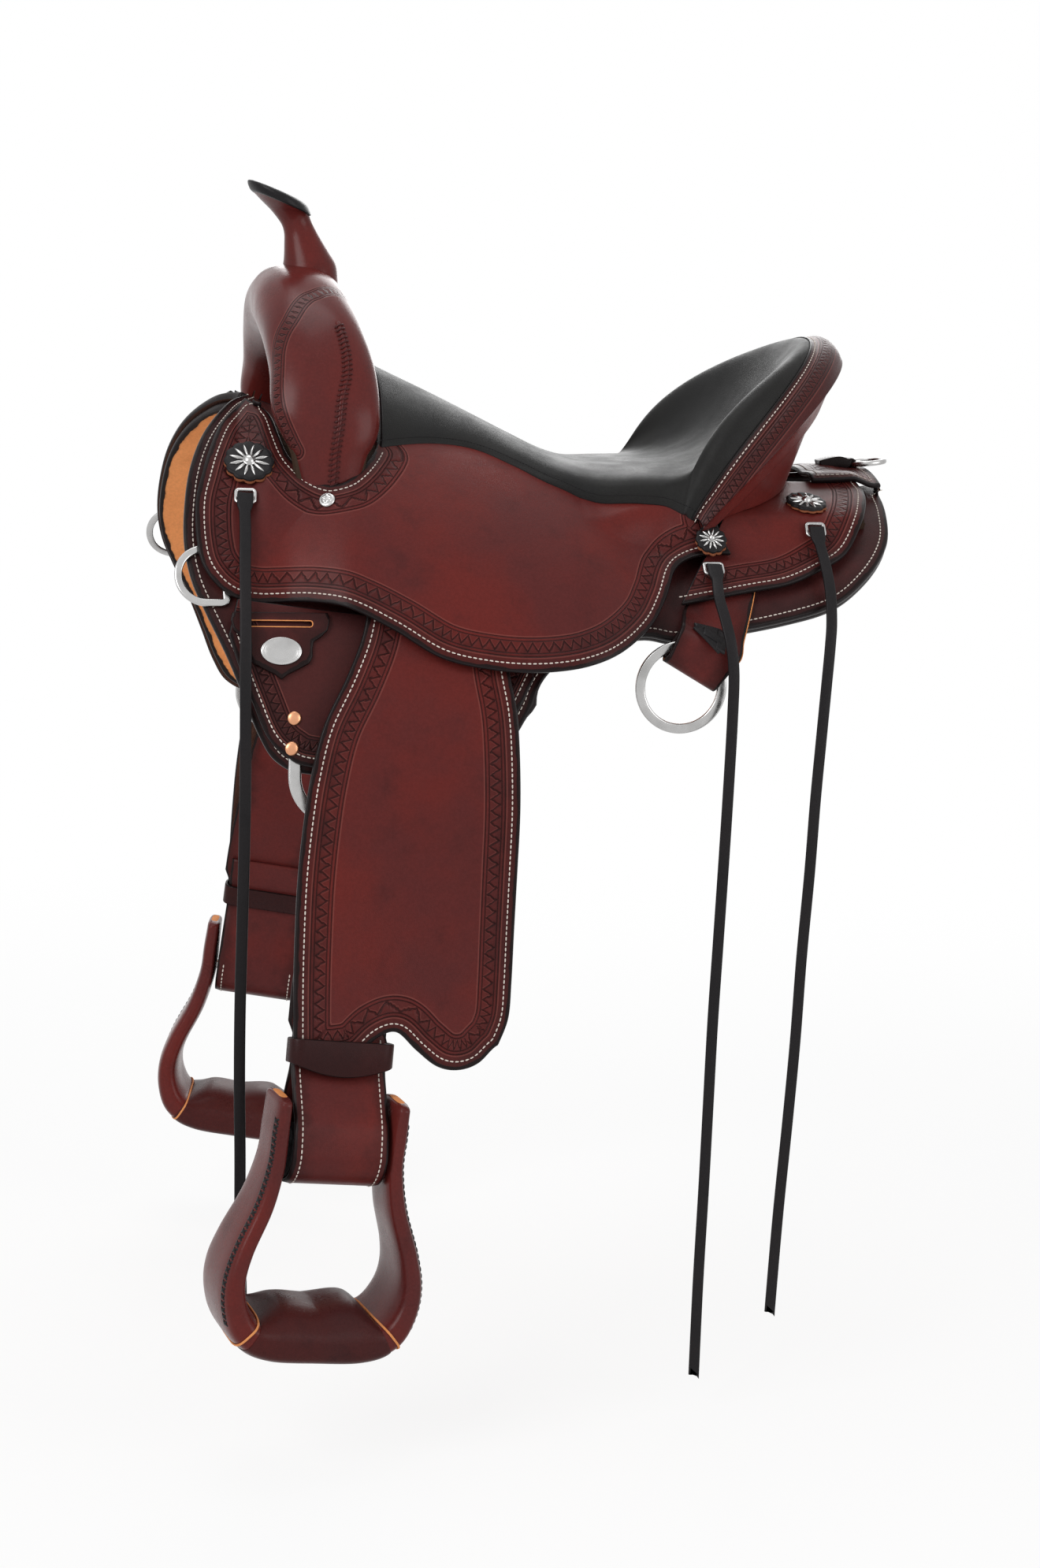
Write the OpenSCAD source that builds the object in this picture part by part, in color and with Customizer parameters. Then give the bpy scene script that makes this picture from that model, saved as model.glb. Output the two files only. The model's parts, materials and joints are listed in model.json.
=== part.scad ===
// Western trail saddle in millimetres.
// Front of the saddle is -X, its left (near) side is -Y and up is +Z.
// The origin lies on the centre plane at the level of the undersides of the tree bars.

/* [Back line] */
// Height of the skirt line over the withers
withers_z = 141; // [135:1:147]
// Height of the skirt line at its lowest point
dip_z = 41; // [37:1:45]
// Height of the skirt line over the loin
loin_z = 59; // [55:1:63]
// Half width of the flanks where they hang straight
flank_half_w = 234; // [228:1:240]

/* [Leather] */
// Thickness of the skirts
skirt_t = 6; // [5:0.5:7]
// Thickness of the lining under the skirts
lining_t = 7; // [5:0.5:9]
// Thickness of the front rigging plates
rigging_t = 3.5; // [3:0.5:4.5]
// Thickness of the seat jockeys
jockey_t = 4; // [3:0.5:5]
// Thickness of the rear jockeys and the back strip
rear_jockey_t = 4; // [3:0.5:5]
// Thickness of the fenders
fender_t = 5; // [4:0.5:6]
// Thickness of the stirrup leathers
strap_t = 4; // [3.5:0.5:4.5]
// Width of the stirrup leathers
strap_w = 76; // [70:1:80]
// Thickness of the leather over the fork
cover_t = 3.5; // [3:0.5:4.5]
// Gap left between two layers of leather
layer_gap = 0.3; // [0.2:0.1:0.5]

/* [Tree and seat] */
// Thickness of the tree bars
bar_t = 22; // [18:1:24]
// Thickness of the bars at their tips
bar_tip_t = 8; // [6:1:10]
// Thickness of the padded seat
pad_t = 14; // [11:1:16]
// Thickness of the padded seat at its edge
pad_edge_t = 5; // [4:0.5:6]
// Thickness of the steel strainer under the seat
strainer_t = 2; // [1.5:0.5:3]
// Thickness of the cantle board
cantle_t = 10; // [8:1:12]

/* [Horn] */
// Diameter of the steel horn core
horn_core_d = 16; // [14:1:18]
// Diameter of the horn wrap at the fork
horn_base_d = 42; // [38:1:46]
// Diameter of the horn wrap below the cap
horn_neck_d = 24; // [22:1:28]
// Diameter of the horn cap
horn_cap_d = 54; // [50:1:60]
// Thickness of the horn cap
horn_cap_t = 11; // [9:1:13]

/* [Stirrup] */
// Inside width of the stirrup across its widest part
stirrup_inside_w = 124; // [118:2:132]
// Thickness of a stirrup branch
branch_t = 16; // [14:1:18]
// Depth of the tread from front to back
tread_depth = 84; // [80:2:100]
// Depth of a branch at the bolt
branch_depth = 46; // [42:2:52]
// Diameter of the stirrup bolt
bolt_d = 10; // [8:1:12]
// Outside diameter of the roller that the leather turns round
sleeve_d = 42; // [38:1:46]
// Radial running clearance of the bolt in its roller
running_fit = 0.06; // [0.03:0.01:0.1]

/* [Hardware] */
// Outside diameter of the rear rigging rings
ring_d = 75; // [70:1:80]
// Band width of the rear rigging rings
ring_band = 8; // [7:0.5:9]
// Thickness of the flat rings and dees
dee_t = 3.5; // [3:0.5:4]
// Width of a front rigging dee
front_dee_w = 76; // [70:1:80]
// Outside diameter of a breast collar dee
breast_dee_d = 50; // [46:1:54]
// Outside diameter of the crupper ring
crupper_d = 36; // [32:1:40]
// Diameter of the front round concho leathers
rosette_d = 40; // [36:1:44]
// Diameter of the front star conchos
concho_d = 32; // [28:1:34]
// Width of the saddle strings
string_w = 9; // [8:1:13]
// Thickness of the saddle strings
string_t = 3; // [2:0.5:3.5]

/* [Hidden] */
$fn = 48;

// Colours
oxblood = "#5a2422";
dark_leather = "#33191a";
black_leather = "#1f1f22";
raw_leather = "#d98c4a";
wood = "#b08a5c";
steel = "#b9bcc0";
copper = "#c9763f";

// Helpers on numbers and points
function mix(a, b, u) = a * (1 - u) + b * u;
function unit(v) = v / norm(v);
function ramp(a, b, s) = let(u = min(1, max(0, (s - a) / (b - a)))) u * u * (3 - 2 * u);
function flat(rows) = [for (row = rows) each row];
function knot(p, i) = p[min(len(p) - 1, max(0, i))];
function curve(p, u) =
    let(s = u * (len(p) - 1), i = min(len(p) - 2, floor(s)), f = s - i)
    let(a = knot(p, i - 1), b = p[i], c = p[i + 1], d = knot(p, i + 2))
    b + 0.5 * f * (c - a + f * (2 * a - 5 * b + 4 * c - d + f * (3 * (b - c) + d - a)));

// The flank: every cross section is the side of an ellipse under the spine line
spine_front_x = -330;
spine_dip_x = 80;
spine_rear_x = 294;
flank_level = 80;
flank_swell = 1.94;
function spine_z(x) = dip_z
    + (withers_z - dip_z) * pow(max(0, (spine_dip_x - x) / (spine_dip_x - spine_front_x)), 1.7)
    + (loin_z - dip_z) * pow(max(0, (x - spine_dip_x) / (spine_rear_x - spine_dip_x)), 1.6);
function section_h(x) = flank_swell * (spine_z(x) + flank_level);
function flank_angle(x, z, off) =
    acos(min(1, max(-1, (z - spine_z(x) + section_h(x)) / (section_h(x) + off))));
function flank(x, angle, off) = [x, -(flank_half_w + off) * sin(angle),
    spine_z(x) - section_h(x) + (section_h(x) + off) * cos(angle)];
function flank_at(x, z, off) = flank(x, flank_angle(x, z, off), off);
// A closed sheet between two equal grids of points
module sheet(outer, inner) {
    n = len(outer);
    m = len(outer[0]);
    q = n * m;
    faces = flat([
        [for (i = [0 : n - 2], j = [0 : m - 2]) each [[i * m + j, i * m + j + 1, (i + 1) * m + j + 1],
            [i * m + j, (i + 1) * m + j + 1, (i + 1) * m + j]]],
        [for (i = [0 : n - 2], j = [0 : m - 2]) each [
            [q + i * m + j, q + (i + 1) * m + j + 1, q + i * m + j + 1],
            [q + i * m + j, q + (i + 1) * m + j, q + (i + 1) * m + j + 1]]],
        [for (i = [0 : n - 2]) each [[i * m, (i + 1) * m, q + (i + 1) * m],
            [i * m, q + (i + 1) * m, q + i * m]]],
        [for (i = [0 : n - 2], k = [m - 1]) each [[(i + 1) * m + k, i * m + k, q + i * m + k],
            [(i + 1) * m + k, q + i * m + k, q + (i + 1) * m + k]]],
        [for (j = [0 : m - 2]) each [[j + 1, j, q + j], [j + 1, q + j, q + j + 1]]],
        [for (j = [0 : m - 2], k = [(n - 1) * m]) each [[k + j, k + j + 1, q + k + j + 1],
            [k + j, q + k + j + 1, q + k + j]]]]);
    polyhedron(concat(flat(outer), flat(inner)), faces);
}

// A closed tube through rings of points
module tube(rings) {
    n = len(rings);
    m = len(rings[0]);
    faces = concat(
        [[for (k = [0 : m - 1]) k]],
        [[for (k = [0 : m - 1]) n * m - 1 - k]],
        [for (i = [0 : n - 2], k = [0 : m - 1]) let(l = (k + 1) % m)
            each [[i * m + k, (i + 1) * m + k, (i + 1) * m + l], [i * m + k, (i + 1) * m + l, i * m + l]]]);
    polyhedron(flat(rings), faces);
}

// A pipe: the space between two equal sets of rings, open at both ends
module pipe(outer, inner) {
    n = len(outer);
    m = len(outer[0]);
    q = n * m;
    e = (n - 1) * m;
    faces = flat([for (k = [0 : m - 1]) let(l = (k + 1) % m) concat(
        [for (i = [0 : n - 2]) each [
            [i * m + k, (i + 1) * m + k, (i + 1) * m + l], [i * m + k, (i + 1) * m + l, i * m + l],
            [q + i * m + k, q + (i + 1) * m + l, q + (i + 1) * m + k],
            [q + i * m + k, q + i * m + l, q + (i + 1) * m + l]]],
        [[k, l, q + l], [k, q + l, q + k], [e + l, e + k, q + e + k], [e + l, q + e + k, q + e + l]])]);
    polyhedron(concat(flat(outer), flat(inner)), faces);
}

// A flat strap along centre points, with a side direction at each of them
function strap_rings(path, sides, widths, t) = [for (i = [0 : len(path) - 1])
    let(ahead = path[min(i + 1, len(path) - 1)], behind = path[max(i - 1, 0)])
    let(up = unit(cross(sides[i], unit(ahead - behind))), s = sides[i] * widths[i] / 2, h = up * t / 2)
    [path[i] - s - h, path[i] - s + h, path[i] + s + h, path[i] + s - h]];

// A patch of leather on the flank between a lower edge of [x, z] and an upper edge of [x, angle]
function edge_angle(p, off) = [p[0], flank_angle(p[0], p[1], off)];
function patch(low, high, n, m, off) = [for (i = [0 : n])
    let(a = edge_angle(curve(low, i / n), off), b = curve(high, i / n))
    [for (j = [0 : m]) mix(a, b, j / m)]];

// Seats a flat piece on a surface, from a point and the surface's directions to the rear and up
module seat_on(p, along, up) {
    n = unit(cross(along, up));
    translate(p) rotate([90 - asin(n[2]), 0, atan2(n[0], -n[1])]) children();
}
module on_flank(x, z, off) {
    seat_on(flank_at(x, z, off), flank_at(x + 5, z, off) - flank_at(x - 5, z, off),
        flank_at(x, z + 5, off) - flank_at(x, z - 5, off)) children();
}

module right() {
    mirror([0, 1, 0]) children();
}

// Tree bars
bar_front_x = -262;
bar_rear_x = 236;
function bar_high_angle(x) = mix(36, 28, ramp(-60, 80, x));
function bar_low_angle(x) = mix(20, 14, ramp(60, 160, x));
function bar_thick(x) = bar_tip_t
    + (bar_t - bar_tip_t) * ramp(bar_front_x, bar_front_x + 60, x) * (1 - ramp(60, bar_rear_x, x));
function over_bar(x, angle) = (bar_thick(x) + layer_gap)
    * ramp(bar_front_x - 26, bar_front_x - 2, x) * (1 - ramp(bar_rear_x + 2, bar_rear_x + 26, x))
    * (1 - ramp(bar_high_angle(x) + 1, bar_high_angle(x) + 10, angle))
    * ramp(bar_low_angle(x) - 9, bar_low_angle(x) - 1, angle);
bar_grid = [for (i = [0 : 26]) let(x = mix(bar_front_x, bar_rear_x, i / 26))
    [for (j = [0 : 5]) [x, mix(bar_high_angle(x), bar_low_angle(x), j / 5)]]];
function bar_crown(j) = mix(0.7, 1, sin(180 * j / 5));

module tree_bar() {
    color(wood) sheet(
        [for (row = bar_grid) [for (j = [0 : 5]) flank(row[j][0], row[j][1],
            layer_gap + bar_thick(row[j][0]) * bar_crown(j))]],
        [for (row = bar_grid) [for (p = row) flank(p[0], p[1], layer_gap)]]);
}

// The fork, the fenders' hang and the strings are drawn on a flank of this half width and follow it
drawn_half_w = 234;

// Fork: rows of [y, z above the spine, x, half depth, half thickness] from the top to the foot
fork_x = -217;
fork_half_w = 143 * flank_half_w / drawn_half_w;
fork_rows = [[0, 95, -232, 37, 30], [0.322 * fork_half_w, 87, -231, 38, 30],
    [0.608 * fork_half_w, 67, -226, 40, 28], [0.797 * fork_half_w, 41, -221, 42, 25],
    [0.93 * fork_half_w, 13, -220, 44, 20], [0.986 * fork_half_w, -10, -218, 39, 16],
    [fork_half_w, -34, fork_x, 30, 13]];
fork_steps = 12;
fork_sides = 16;
fork_round = 0.85;
function squarish(a, p) = abs(a) < 0.001 ? 0 : sign(a) * pow(abs(a), p);
function bar_top(x, y) = let(off = bar_thick(x) + 3 * layer_gap)
    flank(x, asin(min(0.9, abs(y) / (flank_half_w + off))), off)[2];
function fork_ring(u, shrink) =
    let(r = curve(fork_rows, abs(u)), way = u < 0 ? -1 : 1)
    let(v = curve(fork_rows, min(1, abs(u) + 0.02)), k = curve(fork_rows, max(0, abs(u) - 0.02)))
    let(turn = atan2(v[1] - k[1], v[0] - k[0]), hd = r[3] - shrink, ht = r[4] - shrink)
    let(ny = -sin(turn), nz = cos(turn))
    [for (k = [0 : fork_sides - 1]) let(a = 360 * k / fork_sides, d = ht * squarish(cos(a), fork_round))
        let(x = r[2] + hd * squarish(sin(a), fork_round), y = way * (r[0] + d * ny))
        [x, y, abs(u) > 0.999 ? bar_top(x, y) : spine_z(fork_x) + r[1] + d * nz]];
function fork_rings(shrink) = [for (i = [-fork_steps : fork_steps]) fork_ring(i / fork_steps, shrink)];

// Horn: its axis leans to the front, and the cap leans back
horn_foot = [-222, 0, spine_z(fork_x) + 124];
horn_lean = 13;
horn_tip = 48;
cap_centre = [-247, 0, spine_z(fork_x) + 180];
cap_lean = 21;
module at_horn() {
    translate(horn_foot) rotate([0, -horn_lean, 0]) children();
}
module at_cap() {
    translate(cap_centre) rotate([0, cap_lean, 0]) children();
}

module horn_rod(grow) {
    at_horn() translate([0, 0, -24]) cylinder(d = horn_core_d + 2 * grow, h = 24 + horn_tip);
}
module tree_fork() {
    color(wood) difference() {
        tube(fork_rings(cover_t + layer_gap));
        horn_rod(layer_gap);
    }
}
module fork_cover() {
    color(oxblood) difference() {
        pipe(fork_rings(0), fork_rings(cover_t));
        horn_rod(layer_gap);
    }
}
module horn_core() {
    color(steel) difference() {
        horn_rod(0);
        at_cap() translate([0, 0, -2]) cylinder(d = 3 * horn_cap_d, h = 60);
    }
}
module horn_wrap() {
    sink = 14;
    color(oxblood) difference() {
        at_horn() translate([0, 0, -sink])
            cylinder(d1 = horn_base_d + 4, d2 = horn_neck_d - 3, h = sink + horn_tip);
        at_cap() translate([0, 0, -horn_cap_t - layer_gap]) cylinder(d = 3 * horn_cap_d, h = 80);
        horn_rod(layer_gap);
        tube(fork_rings(-layer_gap));
    }
}
module horn_cap() {
    color(black_leather) difference() {
        at_cap() translate([0, 0, -horn_cap_t]) cylinder(d = horn_cap_d, h = horn_cap_t);
        horn_rod(layer_gap);
    }
}

// Layers on the flank, counted outward from the face of the skirt
rigging_in = 5 * layer_gap + dee_t;
rear_strap_t = 3.5;
function rear_in(angle) = 2 * layer_gap + (rear_strap_t + 8 * layer_gap) * ramp(14, 30, angle);
function rear_out(angle) = rear_in(angle) + rear_jockey_t;
lobe_in = 4 * layer_gap + dee_t;
tip_in = rear_out(90) + 6 * layer_gap;
flap_room = 3.5;
flap_in = bar_t + strap_t + flap_room;
function jockey_base(x) = lobe_in + (flap_in - lobe_in) * ramp(-262, -200, x) * (1 - ramp(-30, 50, x))
    + (tip_in - lobe_in) * ramp(-30, 60, x);
function jockey_in(x, angle) = max(jockey_base(x),
    jockey_base(x) * ramp(0, 60, x) + lobe_in * ramp(60, 0, x) + over_bar(x, angle));
function jockey_out(x, angle) = jockey_in(x, angle) + jockey_t;

// Skirts and their linings
skirt_low = [[-272, 116], [-290, 111], [-311, 91], [-324, 65], [-330, 35], [-331, 6], [-326, -20],
    [-316, -43], [-300, -76], [-288, -105], [-276, -135], [-262, -156], [-236, -165], [-160, -168],
    [-100, -158], [-75, -133], [-52, -91], [-20, -68], [31, -58], [60, -61], [100, -55],
    [153, -45], [195, -33], [227, -12], [251, 12], [265, 35], [276, 50]];
skirt_high = [[-262, 7], [-100, 8], [100, 8], [282, 7]];
skirt_grid = patch(skirt_low, skirt_high, 40, 4, 0);
lining_inset = 0.06;
lining_gap = 1.7;
function lining_row(row, off) = let(p = [for (q = row) flank(q[0], q[1], off)])
    [for (j = [0 : len(p) - 1]) j == 0 ? mix(p[0], p[1], lining_inset) : p[j]];

module skirt() {
    color(dark_leather) sheet([for (row = skirt_grid) [for (p = row) flank(p[0], p[1], 0)]],
        [for (row = skirt_grid) [for (p = row) flank(p[0], p[1], -skirt_t)]]);
}
module lining() {
    top = -skirt_t - lining_gap;
    color(raw_leather) sheet([for (row = skirt_grid) lining_row(row, top)],
        [for (row = skirt_grid) lining_row(row, top - lining_t)]);
}

// Front rigging plate, sewn on the front drop of the skirt
rigging_low = [[-299, -62], [-291, -86], [-281, -112], [-270, -137], [-256, -151], [-234, -159],
    [-160, -162], [-106, -152], [-84, -130], [-62, -92]];
rigging_high = [[-292, 54], [-180, 55], [-68, 56]];
rigging_grid = patch(rigging_low, rigging_high, 16, 3, rigging_in);
module rigging_plate() {
    color(dark_leather) sheet(
        [for (row = rigging_grid) [for (p = row) flank(p[0], p[1], rigging_in + rigging_t)]],
        [for (row = rigging_grid) [for (p = row) flank(p[0], p[1], rigging_in)]]);
}

// Front rigging dee: a flat dee held between the plate and the skirt
front_dee_x = -216;
front_dee_top_z = -128;
front_dee_h = 78;
front_dee_band = 10;
module dee_outline(w, h) {
    r = w / 2;
    translate([-r, -h + r]) square([w, h - r]);
    translate([0, -h + r]) circle(r);
}
module front_dee() {
    sunk = 16;
    color(steel) on_flank(front_dee_x, front_dee_top_z - sunk, 2 * layer_gap)
        translate([0, sunk, 0]) linear_extrude(dee_t) difference() {
            dee_outline(front_dee_w, front_dee_h);
            translate([0, -front_dee_band])
                dee_outline(front_dee_w - 2 * front_dee_band, front_dee_h - 2 * front_dee_band);
        }
}

// Rivets that hold the dee, two on each side of it
rivet_places = [[-250, -122], [-252, -145], [-180, -132], [-178, -150]];
rivet_d = 11;
rivet_h = 1.8;
module rivet_row() {
    for (p = rivet_places) on_flank(p[0], p[1], rigging_in + rigging_t + layer_gap)
        cylinder(d1 = rivet_d, d2 = 0.6 * rivet_d, h = rivet_h);
}
module rigging_rivets() {
    color(copper) rivet_row();
    color(copper) right() rivet_row();
}

// Latigo keeper: a scalloped tab with a slot, and a bare oval badge
keeper_x = -260;
keeper_z = -68;
keeper_w = 78;
keeper_h = 56;
keeper_t = 3;
keeper_off = rigging_in + rigging_t + layer_gap;
slot_w = 50;
slot_h = 5;
module keeper_outline() {
    translate([-keeper_w / 2, 4]) square([keeper_w, keeper_h / 2 - 6]);
    translate([-keeper_w / 4, 4]) circle(r = keeper_w / 4);
    translate([keeper_w / 4, 4]) circle(r = keeper_w / 4);
    polygon([[-keeper_w / 3, 0], [keeper_w / 3, 0], [0, -keeper_h / 2]]);
}
module latigo_keeper() {
    color(dark_leather) on_flank(keeper_x, keeper_z, keeper_off) linear_extrude(keeper_t) difference() {
        keeper_outline();
        translate([-slot_w / 2, 10]) square([slot_w, slot_h]);
    }
}
module badge() {
    on_flank(keeper_x, keeper_z, keeper_off) translate([0, -5, keeper_t + layer_gap]) {
        translate([-5, 0, 0]) cylinder(d = 22, h = 1.2);
        translate([5, 0, 0]) cylinder(d = 22, h = 1.2);
        translate([-5, -11, 0]) cube([10, 22, 1.2]);
    }
}
module keeper_badges() {
    color(steel) badge();
    color(steel) right() badge();
}

// Breast collar dee: a flat half ring whose ends run under the jockey
breast_dee_x = -300;
breast_dee_z = -18;
breast_band = 6;
breast_leg = 18;
module half_ring(d, leg) {
    circle(d = d);
    translate([0, -d / 2]) square([leg, d]);
}
module breast_dee() {
    color(steel) on_flank(breast_dee_x, breast_dee_z, layer_gap) translate([-16, 0, 0])
        linear_extrude(dee_t - layer_gap) difference() {
            half_ring(breast_dee_d, breast_leg);
            half_ring(breast_dee_d - 2 * breast_band, breast_leg - breast_band);
        }
}

// Seat edge as [x, angle] from the fork to the cantle
seat_edge = [[-172, 26.5], [-126, 21], [-92, 19.5], [-62, 22.7], [-33, 27], [5, 30], [35, 30.6], [57, 31],
    [66, 31.4], [72, 31.8], [76, 32.2], [81, 32.6]];

// Seat jockey
jockey_low = [[-264, 107], [-286, 104], [-304, 92], [-316, 65], [-322, 36], [-322, 7], [-316, -14],
    [-299, -31], [-275, -37], [-234, -35], [-207, -38], [-174, -53], [-138, -73], [-101, -81], [-63, -83],
    [-26, -79], [7, -69], [34, -51], [49, -31], [60, -11], [74, -2], [94, 2], [110, 2]];
jockey_cut = [[-264, 24], [-265.5, 26.3], [-265, 28.8], [-262.6, 31.3], [-259, 33.4], [-254, 35.2],
    [-247, 36.6], [-239, 37.5], [-229, 38], [-216, 38.1], [-199, 37.7], [-187, 36.4], [-179, 32.3]];
seat_margin = 0.7;
under_seat_x = [-172.5, -130, -95, -60, -25, 10, 40, 62];
jockey_high = concat(jockey_cut, [for (x = under_seat_x) [x, lookup(x, seat_edge) + seat_margin]],
    [[82, 33.6], [98, 35]]);
function jockey_row(i, n) = let(p = curve(jockey_low, i / n))
    let(a = flank_angle(p[0], p[1], jockey_in(p[0], 60)))
    [for (j = [0 : 5]) mix([p[0], a], curve(jockey_high, i / n), j / 5)];
jockey_grid = [for (i = [0 : 40]) jockey_row(i, 40)];
module seat_jockey() {
    color(oxblood) sheet(
        [for (row = jockey_grid) [for (p = row) flank(p[0], p[1], jockey_out(p[0], p[1]))]],
        [for (row = jockey_grid) [for (p = row) flank(p[0], p[1], jockey_in(p[0], p[1]))]]);
}

// Padded seat: stations of [centre x, centre rise over the spine, side fullness in x, in z]
seat_centre = [[-166, 60, 1.5, 1.5], [-120, 52, 1.4, 1.4], [-85, 44, 1.2, 1.2], [-52, 35, 1, 0.9],
    [-20, 26.5, 1, 0.6], [10, 24, 1, 0.45], [48, 28, 1, 0.38], [95, 33, 1, 0.38],
    [135, 46, 1, 0.45], [168, 72, 1.1, 0.5], [206, 130, 1.2, 0.44], [210, 126, 1, 0.9]];
function seat_side(u) = let(p = curve(seat_edge, u)) flank(p[0], p[1], jockey_out(p[0], p[1]) + layer_gap);
function seat_point(u, w) =
    let(c = curve(seat_centre, u), e = seat_side(u), r = spine_z(c[0]) + c[1])
    let(s = cos(90 * min(0.9999, abs(w))))
    [mix(e[0], c[0], pow(s, c[2])), -e[1] * sin(90 * w), mix(e[2], r, pow(s, c[3]))];
function seat_normal(u, w) = let(d = 0.01, f = min(1, u + d), b = max(0, u - d))
    let(l = max(-1, w - d), r = min(1, w + d))
    unit(cross(seat_point(f, w) - seat_point(b, w), seat_point(u, r) - seat_point(u, l)));
function pad_depth(w) = mix(pad_edge_t, pad_t, pow(cos(90 * min(0.9999, abs(w))), 0.6));
function under_pad(u, w, more) = seat_point(u, w)
    - seat_normal(u, w) * (mix(pad_depth(w), pad_edge_t, ramp(0.8, 0.92, u)) + more);
pad_u = [for (i = [0 : 22]) i / 22];
pad_w = [for (j = [-8 : 8]) j / 8];
pad_seat_gap = 3 * layer_gap;
module seat_pad() {
    color(black_leather) sheet([for (u = pad_u) [for (w = pad_w) seat_point(u, w)]],
        [for (u = pad_u) [for (w = pad_w) under_pad(u, w, 0)]]);
}
module ground_seat() {
    u_list = [for (i = [0 : 12]) mix(0.06, 0.62, i / 12)];
    w_list = [for (j = [-4 : 4]) 0.42 * j / 4];
    color(steel) sheet([for (u = u_list) [for (w = w_list) under_pad(u, w, pad_seat_gap)]],
        [for (u = u_list) [for (w = w_list) under_pad(u, w, pad_seat_gap + strainer_t)]]);
}
module tree_cantle() {
    u_list = [for (i = [0 : 6]) mix(0.66, 0.82, i / 6)];
    w_list = [for (j = [-6 : 6]) 0.58 * j / 6];
    color(wood) sheet([for (u = u_list) [for (w = w_list) under_pad(u, w, pad_seat_gap)]],
        [for (u = u_list) [for (w = w_list) under_pad(u, w, pad_seat_gap + cantle_t)]]);
}

// Cantle roll: a binding that starts at the rim of the seat and turns down behind it
roll = [[0.5, 0], [9, 3], [20, -1], [29, -13], [30, -28], [22, -46]];
roll_t = 4;
function roll_size(w) = mix(0.22, 1, pow(cos(90 * w), 0.8));
function roll_inner(k) = let(a = roll[max(0, k - 1)], b = roll[min(len(roll) - 1, k + 1)], d = unit(b - a))
    roll[k] + roll_t * [d[1], -d[0]];
function behind_rim(w, p) = let(rim = seat_point(1, w), s = roll_size(min(1, abs(w))), turn = 55 * w)
    rim + s * [p[0] * cos(turn), p[0] * sin(turn), p[1]];
rim_w = [for (j = [-12 : 12]) 0.93 * j / 12];
module cantle_binding() {
    color(oxblood) sheet([for (k = [0 : 5]) [for (w = rim_w) behind_rim(w, roll[k])]],
        [for (k = [0 : 5]) [for (w = rim_w) behind_rim(w, roll_inner(k))]]);
}

// Cantle back: the leather wall from the roll down to the rear jockeys
function wall_top(w) = behind_rim(w, roll_inner(5) + [-layer_gap, 3]);
function wall_foot(w) = let(s = cos(90 * min(0.9999, abs(w))), x = mix(86, 190, pow(s, 0.9)))
    let(y = 138 * sin(90 * w), a = wall_angle(x, y, wall_angle(x, y, 30)))
    [x, y, flank(x, a, rear_out(a) + over_bar(x, a) + 4 * layer_gap)[2]];
function wall_angle(x, y, a) = asin(abs(y) / (flank_half_w + rear_out(a) + over_bar(x, a)));
wall_w = [for (j = [-12 : 12]) 0.76 * j / 12];
wall_t = 3;
module cantle_back() {
    rows = [for (k = [0 : 3]) k / 3];
    color(oxblood) sheet([for (k = rows) [for (w = wall_w) mix(wall_top(w), wall_foot(w), k)]],
        [for (k = rows) [for (w = wall_w) mix(wall_top(w), wall_foot(w), k) - [wall_t, 0, 0]]]);
}

// Rear jockey and the strip that joins the two over the loin
rear_low = [[65, -33], [88, -29], [122, -23], [156, -17], [185, -6], [209, 6], [227, 24], [239, 41],
    [244, 50]];
rear_high = [[88, 39], [112, 30], [150, 18], [190, 10], [244, 7]];
rear_grid = patch(rear_low, rear_high, 16, 5, rear_out(90));
module rear_jockey() {
    color(oxblood) sheet(
        [for (row = rear_grid) [for (p = row) flank(p[0], p[1], rear_out(p[1]) + over_bar(p[0], p[1]))]],
        [for (row = rear_grid) [for (p = row) flank(p[0], p[1], rear_in(p[1]) + over_bar(p[0], p[1]))]]);
}
strip_x = [208, 284];
strip_angle = 12;
strip_in = rear_out(0) + 3 * layer_gap;
strip_out = strip_in + rear_jockey_t;
module back_strip() {
    xs = [for (i = [0 : 6]) mix(strip_x[0], strip_x[1], i / 6)];
    angles = [for (j = [-5 : 5]) -strip_angle * j / 5];
    color(oxblood) sheet([for (x = xs) [for (a = angles) flank(x, a, strip_out + over_bar(x, abs(a)))]],
        [for (x = xs) [for (a = angles) flank(x, a, strip_in + over_bar(x, abs(a)))]]);
}

// Crupper ring, lying on the strip, and the tab that its front edge turns in
crupper_wire = 4.5;
tab_t = 2.5;
tab_w = 8;
crupper_x = 270;
crupper_lift = tab_t + 2 * layer_gap + crupper_wire / 2;
crupper_pin = (crupper_wire - crupper_d) / 2;
strip_slope = atan((spine_z(strip_x[1]) - spine_z(strip_x[0])) / (strip_x[1] - strip_x[0]));
module on_strip() {
    translate([crupper_x, 0, spine_z(crupper_x) + strip_out + layer_gap])
        rotate([0, -strip_slope, 0]) children();
}
module crupper_tab() {
    r = crupper_wire / 2 + 2 * layer_gap;
    reach = 32;
    color(oxblood) on_strip() translate([crupper_pin, tab_w / 2, crupper_lift]) rotate([90, 0, 0])
        linear_extrude(tab_w) difference() {
            union() {
                circle(r + tab_t);
                translate([-reach, -r - tab_t]) square([reach, tab_t + r]);
            }
            circle(r);
            translate([-reach - 1, -r]) square([reach + 1, 2 * (r + tab_t)]);
        }
}
module crupper_ring() {
    color(steel) on_strip() translate([0, 0, crupper_lift]) rotate_extrude()
        translate([-crupper_pin, 0]) circle(d = crupper_wire, $fn = 24);
}

// Rear rigging: a strap from under the rear jockey, folded round a flat ring that swings in the fold
ring_x = 62;
ring_z = -99;
ring_hole = ring_d - 2 * ring_band;
ring_swing = 14;
fold_w = 50;
fold_room = 0.6;
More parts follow.
